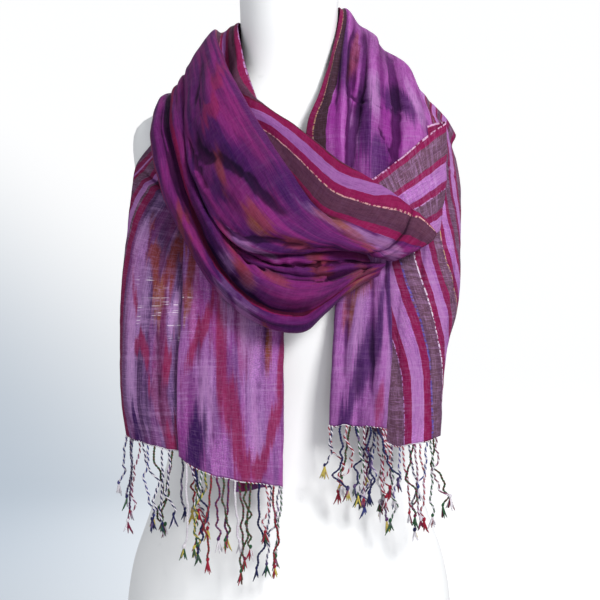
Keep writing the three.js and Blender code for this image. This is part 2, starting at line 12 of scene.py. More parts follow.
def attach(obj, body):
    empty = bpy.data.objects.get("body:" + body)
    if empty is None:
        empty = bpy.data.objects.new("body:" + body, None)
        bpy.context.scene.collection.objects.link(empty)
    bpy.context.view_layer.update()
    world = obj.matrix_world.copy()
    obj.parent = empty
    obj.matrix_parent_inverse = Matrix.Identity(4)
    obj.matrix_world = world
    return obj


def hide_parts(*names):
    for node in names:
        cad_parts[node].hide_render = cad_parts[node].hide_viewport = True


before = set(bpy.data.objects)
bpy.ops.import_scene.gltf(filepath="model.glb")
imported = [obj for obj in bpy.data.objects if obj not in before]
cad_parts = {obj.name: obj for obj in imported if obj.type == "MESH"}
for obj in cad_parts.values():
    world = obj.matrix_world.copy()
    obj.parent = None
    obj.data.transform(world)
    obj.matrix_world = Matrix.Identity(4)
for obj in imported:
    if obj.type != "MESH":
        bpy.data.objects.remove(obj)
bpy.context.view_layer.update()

MM = 0.001
cloth_thickness = 0.0007
grid_step = 0.0023  # distance between neighbouring points of the cloth
neck_axis_y = 3  # millimetres, as in the section tables

# Camera at the height of the chest, level, seen from the front
camera_place = (0.0115, -1.9, 0.441)
frame_width = 0.63  # what the picture spans at the form's axis

# Colours of the yarns
crimson = (0.205, 0.004, 0.058)
deep_crimson = (0.120, 0.003, 0.022)
taupe = (0.108, 0.050, 0.078)
orchid = (0.300, 0.098, 0.320)
violet = (0.090, 0.010, 0.098)
magenta = (0.172, 0.013, 0.128)
lilac = (0.175, 0.060, 0.205)
# Darker, greyer copies of the lilac: painted shade for the outer left panel
lilac_painted_shade = (0.070, 0.032, 0.092)
slate_lilac_painted_shade = (0.135, 0.068, 0.185)
mauve = (0.350, 0.078, 0.345)
plum_lilac = (0.205, 0.060, 0.220)
pale_orchid = (0.350, 0.140, 0.370)
plum_taupe = (0.085, 0.026, 0.052)
mauve_grey = (0.275, 0.095, 0.300)
plum = (0.270, 0.032, 0.245)
# Indigo is dye, and on the roll across the chest it is also painted shade
indigo_dye_and_shade = (0.026, 0.003, 0.068)
rose = (0.235, 0.014, 0.068)
rust = (0.205, 0.034, 0.018)
ochre = (0.230, 0.078, 0.018)
pale_lilac = (0.430, 0.240, 0.470)
slub_white = (0.80, 0.72, 0.80)
gold = (0.50, 0.33, 0.14)
petal = (0.72, 0.48, 0.62)
rose_gold = (0.62, 0.36, 0.30)
deep_taupe = (0.050, 0.020, 0.028)
blue_line = (0.08, 0.07, 0.32)


# The form, one row for each level: height, half width, depth in front, depth behind, squareness
form_levels = np.array([
    (0, 160, 98, 114, 2.2), (60, 169, 103, 121, 2.2), (120, 169, 103, 119, 2.2),
    (170, 162, 100, 111, 2.2), (215, 147, 95, 98, 2.2), (280, 126, 90, 83, 2.2),
    (340, 128, 94, 84, 2.2), (400, 138, 106, 92, 2.25), (450, 147, 113, 97, 2.3),
    (500, 152, 105, 101, 2.35), (550, 157, 90, 102, 2.5), (580, 161, 77, 97, 2.8),
    (604, 163, 66, 87, 2.9), (621, 159, 58, 77, 2.8), (634, 143, 53, 68, 2.5),
    (646, 112, 50, 61, 2.2), (660, 78, 48, 57, 2.0), (674, 57, 48, 54, 2.0),
    (694, 51, 49, 53, 2.0), (730, 51, 53, 51, 2.0), (780, 52, 55, 50, 2.0),
    (788, 49, 52, 47, 2.0),
], float)


def form_section(z):
    """Half width, front, back and squareness of the form at heights z."""
    heights, values = form_levels[:, 0], form_levels[:, 1:]
    z = np.clip(z, 0, heights[-1])
    k = np.clip(np.searchsorted(heights, z, side="right") - 1, 0, len(heights) - 2)
    order = np.arange(len(heights))
    below, above = np.maximum(order - 1, 0), np.minimum(order + 1, order[-1])
    slopes = (values[above] - values[below]) / (heights[above] - heights[below])[:, None]
    span = (heights[k + 1] - heights[k])[..., None]
    t = (z - heights[k])[..., None] / span
    return ((2 * t**3 - 3 * t**2 + 1) * values[k] + (t**3 - 2 * t**2 + t) * span * slopes[k]
            + (3 * t**2 - 2 * t**3) * values[k + 1] + (t**3 - t**2) * span * slopes[k + 1])


def form_share(points):
    """1 on the form's surface, under 1 inside it and over 1 outside."""
    half_width, front, back, squareness = np.moveaxis(form_section(points[..., 2]), -1, 0)
    depth = np.where(points[..., 1] < 0, front, back)
    total = (abs(points[..., 0]) / half_width) ** squareness + (
        abs(points[..., 1]) / depth) ** squareness
    return total ** (1 / squareness)


def out_of_form(points):
    """Directions straight out of the form, and how far from it the points are."""
    reach = 0.5  # millimetres to the points that the slope is taken from
    here = form_share(points)
    slope = np.stack(
        [(form_share(points + step) - here) / reach for step in reach * np.eye(3)], axis=-1)
    steepness = np.maximum(np.linalg.norm(slope, axis=-1, keepdims=True), 1e-6)
    return slope / steepness, (here - 1) / steepness[..., 0]


def off_form(points, gap):
    """The points, moved out of the form until they are at least that far from it."""
    p = points.copy()
    pushes = 10  # each takes the points nearer to where they should be
    for _ in range(pushes):
        direction, distance = out_of_form(p)
        p += direction * np.maximum(gap - distance, 0)[..., None]
    return p


def through(points, count):
    """Points along the Catmull-Rom curve through evenly counted points, on the first axis."""
    spans = len(points) - 1
    padded = np.concatenate([2 * points[:1] - points[1:2], points, 2 * points[-1:] - points[-2:-1]])
    at = np.clip(np.linspace(0, spans, count + 1), 0, spans - 1e-9)
    k = at.astype(int)
    s = (at - k).reshape(-1, *[1] * (points.ndim - 1))
    p0, p1, p2, p3 = (padded[k + i] for i in range(4))
    return 0.5 * (2 * p1 + (p2 - p0) * s + (2 * p0 - 5 * p1 + 4 * p2 - p3) * s**2
                  + (3 * p1 - p0 - 3 * p2 + p3) * s**3)


def spread(grid, along, across):
    """A finer grid through a grid of points."""
    crossed = through(np.swapaxes(grid, 0, 1), across)
    return through(np.swapaxes(crossed, 0, 1), along)


def lengths(grid, axis):
    """Distance from the first point to each point, along an axis of the grid."""
    steps = np.linalg.norm(np.diff(grid[..., :3], axis=axis), axis=-1)
    start = np.zeros_like(np.take(steps, [0], axis=axis))
    return np.concatenate([start, np.cumsum(steps, axis=axis)], axis=axis)


def outer_side(grid):
    """Directions straight out of the cloth, on the side away from the form, and whether the
    grid's own faces look the other way."""
    lengthwise = np.gradient(grid[..., :3], axis=0)
    crosswise = np.gradient(grid[..., :3], axis=1)
    out = np.cross(lengthwise, crosswise)
    out /= np.maximum(np.linalg.norm(out, axis=-1, keepdims=True), 1e-9)
    turned = np.mean(np.sum(out * out_of_form(grid[..., :3])[0], axis=-1)) < 0
    return (-out if turned else out), turned


def lumps(points, size, seed):
    """Smooth noise from -1 to 1 at points, in lumps of about that size."""
    period = 24
    lattice = np.random.default_rng(seed).uniform(-1, 1, (period, period, period))
    at = points / size
    k = np.floor(at).astype(int)
    s = at - k
    s = s * s * (3 - 2 * s)
    total = np.zeros(points.shape[:-1])
    for corner in np.ndindex(2, 2, 2):
        share = np.prod(np.where(np.array(corner) == 1, s, 1 - s), axis=-1)
        total += share * lattice[tuple(np.moveaxis((k + corner) % period, -1, 0))]
    return total


def around_neck(degrees, profile):
    """Points at a radius from the neck's axis, in the direction of an angle, at a height."""
    angle = math.radians(degrees)
    return [(radius * math.cos(angle), neck_axis_y + radius * math.sin(angle), z)
            for radius, z in profile]


# Radius and height of the bundled cloth where it meets the stretch behind the neck
seam_angle = {"right": 43.5, "left": 136.5}
seam_profile = {
    "right_field": [(54, 736), (58, 742), (66, 744), (75, 738), (85, 729), (94, 717), (101, 703),
                    (107, 688)],
    "right_border": [(109, 682), (112, 672), (114, 662), (116, 651), (117, 640), (118, 629)],
    "left_swag": [(54, 728), (58, 733), (64, 735), (71, 731), (78, 724), (85, 716), (92, 707),
                  (98, 696), (104, 684), (108, 671), (111, 660)],
    "left_pleats": [(112, 654), (116, 648), (117, 642), (115, 636), (118, 630), (119, 624),
                    (116, 618)],
}


# Right end, from behind the neck down to its hem. Columns: selvedge by the neck, valley,
# first ridge (the panel's left fold lower down), valley, second ridge, valley, third ridge
# (the panel's right fold), outer edge
right_field = [
    around_neck(seam_angle["right"], seam_profile["right_field"]),
    [(53, 8, 749), (57, 5, 746), (63, 3, 746), (74, 6, 730), (86, 3, 722), (98, 6, 705),
     (117, 0, 692), (129, 3, 670)],
    [(47, -28, 706), (51, -34, 704), (57, -42, 705), (71, -36, 692), (86, -45, 690),
     (103, -36, 676), (123, -38, 672), (137, -28, 652)],
    [(33, -58, 657), (39, -62, 655), (54, -74, 656), (66, -66, 648), (84, -79, 646),
     (105, -66, 637), (128, -70, 634), (146, -54, 622)],
    [(18, -78, 612), (26, -83, 610), (50, -96, 610), (60, -88, 604), (82, -99, 602),
     (106, -89, 596), (130, -90, 594), (148, -76, 588)],
    [(24, -97, 548), (34, -101, 547), (50, -109, 546), (60, -104, 546), (80, -111, 546),
     (104, -105, 545), (124, -104, 544), (136, -98, 543)],
    [(62, -106, 480), (54, -107, 480), (50, -114, 478), (64, -115, 478), (78, -117, 478),
     (90, -115, 478), (102, -113, 478), (97, -107, 478)],
    [(70, -111, 392), (53, -113, 392), (44, -122, 392), (58, -126, 392), (73, -123, 392),
     (89, -127, 392), (102, -123, 392), (95, -116, 392)],
    [(66, -110, 318), (51, -113, 318), (40, -121, 319), (55, -126, 318), (69, -122, 317),
     (84, -127, 316), (96, -123, 315), (89, -116, 315)],
]

# The striped border of the right end. Columns: tuck under the panel, edge, front, middle, fold
# edge, outer stripes, selvedge
right_border = [
    around_neck(seam_angle["right"], [(96, 700)] + seam_profile["right_border"]),
    [(119, 3, 682), (131, 4, 666), (138, 3, 658), (145, 2, 650), (153, 2, 641), (161, 2, 631),
     (168, 4, 619)],
    [(127, -33, 660), (138, -30, 647), (144, -28, 640), (151, -24, 632), (158, -19, 623),
     (165, -13, 613), (170, -5, 601)],
    [(134, -60, 626), (142, -54, 617), (149, -50, 613), (156, -44, 608), (163, -37, 601),
     (169, -29, 593), (174, -19, 584)],
    [(122, -92, 574), (130, -90, 568), (140, -86, 566), (151, -79, 563), (162, -68, 560),
     (170, -57, 557), (176, -44, 553)],
    [(95, -104, 493), (104, -102, 492), (122, -102, 491), (141, -97, 490), (157, -89, 489),
     (168, -78, 489), (174, -65, 489)],
    [(86, -109, 436), (94, -108, 436), (112, -110, 435), (135, -109, 434), (153, -101, 434),
     (164, -90, 434), (170, -77, 434)],
    [(82, -111, 370), (90, -111, 370), (108, -115, 370), (129, -114, 370), (147, -106, 370),
     (155, -96, 371), (153, -86, 371)],
    [(76, -109, 318), (84, -110, 312), (102, -116, 298), (119, -120, 299), (139, -116, 302),
     (151, -103, 306), (147, -92, 309)],
]

# The cloth that turns back at the right shoulder. Columns: selvedge, outer grey stripe,
# middle, inner grey stripe, lower edge
right_turn = [
    [(60, -114, 548), (67, -117, 534), (75, -119, 519), (84, -121, 504), (94, -122, 490)],
    [(82, -113, 560), (90, -116, 543), (98, -118, 526), (107, -120, 510), (116, -120, 495)],
    [(110, -104, 581), (117, -109, 561), (124, -112, 541), (130, -114, 521), (136, -113, 502)],
    [(138, -90, 605), (142, -96, 580), (145, -101, 556), (147, -105, 531), (148, -105, 508)],
    [(158, -74, 620), (159, -82, 593), (158, -88, 566), (155, -94, 538), (151, -98, 511)],
    [(151, -64, 621), (152, -73, 594), (152, -80, 567), (149, -87, 540), (144, -92, 514)],
    [(136, -68, 616), (138, -78, 590), (139, -86, 565), (138, -92, 540), (132, -96, 516)],
]

# Outer panel of the left end. Columns: edge under the front panel, front, middle, fold
# edge, selvedge
left_side = [
    [(-60, -52, 650), (-74, -54, 643), (-90, -54, 636), (-105, -52, 629), (-118, -48, 623)],
    [(-70, -70, 600), (-88, -71, 602), (-106, -69, 603), (-123, -63, 603), (-138, -53, 602)],
    [(-76, -82, 566), (-96, -82, 568), (-117, -77, 571), (-139, -66, 575), (-156, -48, 579)],
    [(-80, -90, 530), (-101, -89, 533), (-124, -83, 537), (-146, -71, 543), (-160, -55, 550)],
    [(-86, -101, 488), (-108, -100, 490), (-131, -94, 493), (-152, -83, 498), (-164, -68, 504)],
    [(-90, -110, 440), (-112, -112, 440), (-136, -110, 440), (-156, -101, 440), (-168, -87, 441)],
    [(-90, -112, 385), (-113, -118, 385), (-138, -117, 385), (-159, -109, 385), (-168, -94, 386)],
    [(-89, -112, 340), (-113, -119, 340), (-139, -119, 340), (-158, -112, 341), (-166, -99, 342)],
    [(-88, -110, 294), (-108, -119, 293), (-131, -121, 297), (-150, -115, 303), (-161, -103, 307)],
]

# Front panel of the left end. Columns: left turn-under, left fold, three lines of the front,
# right fold, right turn-under, back layer
left_front = [
    [(-76, -70, 590), (-82, -75, 590), (-70, -79, 592), (-57, -80, 594), (-45, -79, 595),
     (-36, -76, 596), (-38, -71, 596), (-50, -71, 595)],
    [(-92, -92, 542), (-99, -97, 542), (-82, -103, 543), (-61, -105, 544), (-42, -104, 545),
     (-27, -101, 546), (-31, -95, 546), (-48, -96, 545)],
    [(-94, -107, 480), (-104, -112, 480), (-84, -117, 480), (-60, -119, 480), (-34, -118, 480),
     (-12, -116, 480), (-16, -110, 480), (-44, -112, 480)],
    [(-93, -114, 436), (-104, -119, 436), (-84, -125, 436), (-58, -126, 436), (-32, -125, 436),
     (-6, -121, 436), (-12, -114, 436), (-48, -116, 436)],
    [(-96, -118, 385), (-108, -124, 385), (-85, -129, 385), (-58, -130, 385), (-31, -129, 385),
     (-6, -123, 385), (-13, -116, 385), (-50, -119, 385)],
    [(-97, -120, 330), (-109, -125, 330), (-86, -131, 330), (-58, -132, 330), (-31, -130, 330),
     (-6, -124, 330), (-13, -117, 330), (-52, -120, 330)],
    [(-95, -120, 288), (-107, -125, 287), (-82, -132, 273), (-56, -133, 265), (-30, -131, 261),
     (-7, -125, 258), (-13, -118, 257), (-54, -120, 252)],
]

# The loop across the chest, from behind the neck to its turned tip. Columns: selvedge,
# collar, folded upper edge, middle stripe, inner stripe, tuck under the roll, edge of the
# roll, three lines down its front, edge underneath
front_swag = [
    around_neck(seam_angle["left"], seam_profile["left_swag"]),
    [(-53, -2, 731), (-57, 1, 730), (-62, 5, 727), (-66, 8, 724), (-70, 10, 722), (-74, 8, 722),
     (-78, 0, 725), (-86, -3, 716), (-94, -4, 704), (-102, -4, 689), (-106, 3, 679)],
    [(-48, -36, 696), (-53, -42, 694), (-58, -42, 684), (-62, -40, 678), (-66, -38, 674),
     (-69, -40, 676), (-68, -48, 692), (-77, -57, 688), (-90, -61, 674), (-100, -58, 659),
     (-104, -52, 651)],
    [(-39, -55, 665), (-45, -60, 664), (-52, -67, 660), (-56, -68, 650), (-60, -68, 643),
     (-62, -72, 640), (-51, -84, 655), (-63, -97, 652), (-83, -102, 635), (-99, -96, 608),
     (-102, -93, 600)],
    [(-25, -66, 632), (-24, -73, 634), (-20, -80, 634), (-19, -90, 620), (-21, -96, 604),
     (-28, -99, 597), (-27, -109, 613), (-42, -124, 609), (-66, -130, 591), (-88, -121, 563),
     (-91, -117, 557)],
    [(8, -84, 600), (10, -90, 606), (14, -98, 609), (11, -106, 592), (8, -112, 574), (0, -116, 563),
     (-8, -128, 582), (-24, -142, 576), (-46, -149, 555), (-65, -142, 522), (-70, -139, 515)],
    [(47, -108, 566), (49, -114, 574), (51, -119, 577), (45, -125, 560), (38, -129, 542),
     (28, -131, 529), (21, -141, 537), (4, -153, 530), (-17, -158, 514), (-36, -152, 494),
     (-41, -149, 489)],
    [(77, -120, 549), (79, -124, 556), (81, -127, 559), (74, -133, 542), (65, -137, 527),
     (56, -140, 517), (46, -146, 514), (34, -153, 507), (20, -157, 499), (4, -151, 490),
     (-2, -144, 487)],
    [(97, -122, 536), (99, -126, 543), (101, -129, 546), (95, -135, 530), (87, -139, 517),
     (79, -142, 508), (70, -146, 503), (59, -151, 498), (48, -153, 495), (36, -149, 491),
     (29, -142, 489)],
    [(114, -121, 524), (116, -125, 531), (118, -127, 533), (113, -133, 519), (106, -137, 508),
     (98, -140, 500), (90, -142, 495), (81, -145, 492), (72, -146, 490), (63, -143, 490),
     (57, -136, 489)],
    [(129, -118, 512), (132, -121, 518), (134, -123, 520), (129, -129, 510), (122, -133, 501),
     (114, -136, 494), (107, -138, 489), (99, -140, 486), (91, -140, 484), (84, -137, 484),
     (79, -131, 485)],
    [(141, -115, 501), (144, -117, 504), (146, -118, 506), (141, -123, 500), (134, -127, 495),
     (127, -130, 491), (120, -132, 487), (113, -133, 484), (107, -132, 481), (101, -130, 479),
     (97, -127, 480)],
    [(138, -110, 498), (140, -111, 501), (141, -112, 502), (137, -116, 497), (131, -119, 493),
     (125, -122, 489), (119, -124, 486), (113, -126, 483), (107, -126, 481), (102, -125, 480),
     (98, -123, 481)],
]

# The parallel pleats below the roll, from behind the neck round the bottom of the loop and
# up to the tip. Columns: outer turn-under, outer fold, first ridge, valley, second rise,
# second ridge, inner edge under the roll
swag_pleats = [
    around_neck(seam_angle["left"], seam_profile["left_pleats"][:0:-1] + [(103, 668)]),
    [(-126, 8, 642), (-133, 4, 644), (-128, -2, 655), (-120, 3, 660), (-115, -3, 668),
     (-110, -6, 676), (-102, 4, 684)],
    [(-131, -47, 616), (-140, -50, 618), (-136, -62, 624), (-127, -54, 624), (-118, -64, 630),
     (-108, -64, 637), (-99, -52, 652)],
    [(-128, -72, 584), (-137, -75, 588), (-131, -89, 592), (-121, -79, 594), (-111, -90, 598),
     (-100, -88, 602), (-93, -84, 612)],
    [(-115, -93, 541), (-125, -97, 545), (-119, -111, 549), (-108, -100, 552), (-98, -113, 556),
     (-88, -110, 560), (-81, -107, 572)],
    [(-95, -117, 500), (-104, -120, 503), (-98, -134, 508), (-88, -124, 511), (-78, -137, 515),
     (-68, -133, 519), (-60, -128, 530)],
    [(-72, -128, 461), (-80, -132, 463), (-75, -147, 469), (-66, -136, 474), (-57, -151, 480),
     (-46, -146, 486), (-40, -134, 491)],
    [(-46, -138, 436), (-51, -142, 432), (-46, -157, 440), (-40, -146, 446), (-31, -161, 456),
     (-21, -156, 466), (-21, -134, 475)],
    [(-16, -140, 421), (-19, -145, 414), (-16, -160, 422), (-12, -150, 431), (-4, -164, 444),
     (2, -159, 457), (1, -134, 471)],
    [(12, -138, 417), (14, -142, 410), (16, -157, 419), (16, -148, 430), (21, -162, 443),
     (26, -156, 456), (23, -134, 469)],
    [(32, -134, 434), (36, -138, 428), (39, -149, 435), (39, -144, 443), (44, -154, 451),
     (47, -149, 460), (44, -131, 471)],
    [(58, -130, 453), (62, -133, 450), (65, -140, 456), (66, -138, 461), (69, -144, 465),
     (72, -141, 470), (69, -127, 477)],
    [(84, -126, 466), (88, -128, 465), (90, -131, 469), (91, -131, 471), (93, -133, 474),
     (95, -132, 476), (92, -127, 477)],
]

# The small gathers between the roll and the pleats. Columns: top edge, lip, groove, swell,
# lower edge
swag_gathers = [
    [(-68, -119, 524), (-69, -125, 520), (-69, -125, 516), (-68, -123, 512), (-68, -117, 508)],
    [(-48, -121, 504), (-47, -132, 495), (-46, -131, 489), (-46, -135, 484), (-45, -127, 477)],
    [(-22, -126, 498), (-21, -141, 481), (-19, -137, 477), (-18, -143, 472), (-16, -130, 462)],
    [(6, -127, 499), (8, -142, 481), (9, -138, 475), (10, -144, 468), (12, -130, 457)],
    [(32, -126, 498), (34, -140, 481), (34, -137, 475), (36, -142, 468), (36, -129, 458)],
    [(58, -123, 494), (60, -132, 482), (60, -130, 478), (60, -136, 472), (60, -126, 464)],
    [(76, -119, 487), (80, -126, 480), (80, -125, 477), (80, -128, 474), (79, -123, 470)],
]

# The second turn, across the back from the right shoulder to the left end. Columns: upper
# edge, then ridges and valleys down to the lower edge
back_wrap = [
    [(-58, -40, 662), (-71, -42, 656), (-84, -43, 650), (-96, -42, 645), (-107, -41, 640),
     (-116, -38, 635)],
    [(-60, 8, 674), (-72, 10, 668), (-84, 8, 664), (-96, 10, 659), (-108, 8, 655), (-119, 6, 650)],
    [(-58, 40, 666), (-74, 48, 658), (-91, 55, 646), (-107, 61, 633), (-122, 66, 618),
     (-136, 70, 600)],
    [(-50, 72, 646), (-64, 84, 632), (-78, 91, 612), (-90, 98, 592), (-101, 95, 568),
     (-110, 94, 544)],
    [(-28, 82, 640), (-34, 97, 622), (-41, 105, 597), (-47, 117, 570), (-52, 112, 537),
     (-56, 113, 506)],
    [(8, 79, 648), (8, 97, 622), (8, 107, 590), (8, 118, 560), (8, 112, 525), (8, 113, 490)],
    [(58, 76, 650), (64, 94, 620), (69, 103, 588), (71, 113, 560), (73, 106, 526), (75, 107, 492)],
    [(102, 60, 642), (115, 71, 613), (123, 78, 580), (127, 86, 556), (128, 80, 528),
     (129, 79, 500)],
    [(146, 12, 628), (160, 17, 602), (168, 18, 572), (171, 20, 552), (170, 18, 532),
     (168, 16, 512)],
    [(146, -20, 618), (158, -23, 594), (165, -26, 570), (167, -28, 552), (166, -30, 534),
     (164, -32, 516)],
    [(140, -58, 596), (147, -61, 580), (151, -64, 562), (153, -66, 545), (151, -68, 528),
     (149, -70, 512)],
]

# Behind the neck, between the two seams. Columns run from the neck over the collar and down
nape_profiles = {
    66: [(56, 739), (60, 746), (68, 748), (78, 742), (86, 733), (94, 721), (99, 706), (106, 691),
         (108, 674), (113, 659), (113, 645), (110, 631)],
    90: [(57, 739), (61, 746), (68, 749), (78, 743), (84, 733), (92, 722), (96, 706), (102, 691),
         (103, 673), (107, 658), (106, 643), (103, 629)],
    114: [(56, 734), (60, 741), (68, 744), (77, 738), (84, 729), (92, 718), (98, 702), (105, 688),
          (107, 670), (112, 655), (112, 640), (109, 626)],
}


# Where each thread of the warp lies, in millimetres from the selvedge, column by column. A list
# of lists has one row for each section, so that stripes drift over a fold.
swag_threads = [
    [0, 10, 28, 42, 52, 62, 78, 106, 133, 160, 178], [0, 8, 22, 34, 44, 56, 74, 104, 133, 160, 178],
    [0, 5, 15, 24, 33, 48, 67, 102, 132, 160, 178], [0, 5, 16, 25, 36, 54, 72, 104, 133, 160, 178],
    [0, 6, 20, 36, 53, 68, 80, 106, 134, 160, 178], [0, 6, 21, 38, 56, 72, 84, 108, 134, 160, 178],
    [0, 6, 21, 38, 56, 72, 84, 108, 134, 160, 178], [8, 17, 27, 43, 58, 72, 82, 104, 128, 152, 170],
    [20, 28, 38, 49, 62, 71, 78, 98, 120, 140, 156],
    [26, 34, 43, 53, 64, 72, 78, 94, 112, 130, 144],
    [30, 37, 46, 55, 65, 73, 79, 92, 106, 120, 132],
    [33, 40, 48, 56, 66, 74, 80, 90, 102, 112, 122],
    [34, 41, 48, 56, 66, 74, 80, 90, 100, 110, 118],
]


def drifting(starts, steps):
    """Rows of threads that keep their distances while the first one drifts."""
    return [[start + step for step in steps] for start in starts]


pleat_threads = drifting((0, 0, 0, 0, 3, 8, 10, 10, 10, 10, 10, 10, 10),
                         (-8, 0, 14, 24, 34, 46, 56))
border_threads = drifting((72, 72, 70, 68, 66, 38, 12, -10, -22), (-9, 0, 19, 40, 62, 76, 90))
side_threads = drifting((0, 0, 8, 27, 40, 45, 45, 45, 45), (70, 47, 23, 0, -18))


def nape_row(degrees, profile, threads):
    """A section of the cloth behind the neck, with its threads, at twelve evenly spread points."""
    line = np.column_stack([around_neck(degrees, profile), threads])
    return through(line, 11)


# Behind the neck the warp runs on from the right end, whose border is folded into the valley by
# the neck, to the loop and the pleats
seam_overlap = 2.5  # degrees
nape_right = nape_row(
    seam_angle["right"] - seam_overlap, seam_profile["right_field"] + seam_profile["right_border"],
    [0, 9, 75, 92, 108, 126, 146, 165, 272, 291, 312, 334, 348, 362])
nape_left = nape_row(
    seam_angle["left"] + seam_overlap, seam_profile["left_swag"] + seam_profile["left_pleats"],
    swag_threads[0] + [194, 204, 216, 226, 236, 250, 258])
nape_rows = [nape_right]
for degrees, profile in nape_profiles.items():
    share = (degrees - seam_angle["right"]) / (seam_angle["left"] - seam_angle["right"])
    threads = nape_right[:, 3] * (1 - share) + nape_left[:, 3] * share
    nape_rows.append(nape_row(degrees, profile, threads))
nape_rows = np.array(nape_rows + [nape_left])
nape_wrap, nape_threads = nape_rows[..., :3], nape_rows[..., 3]
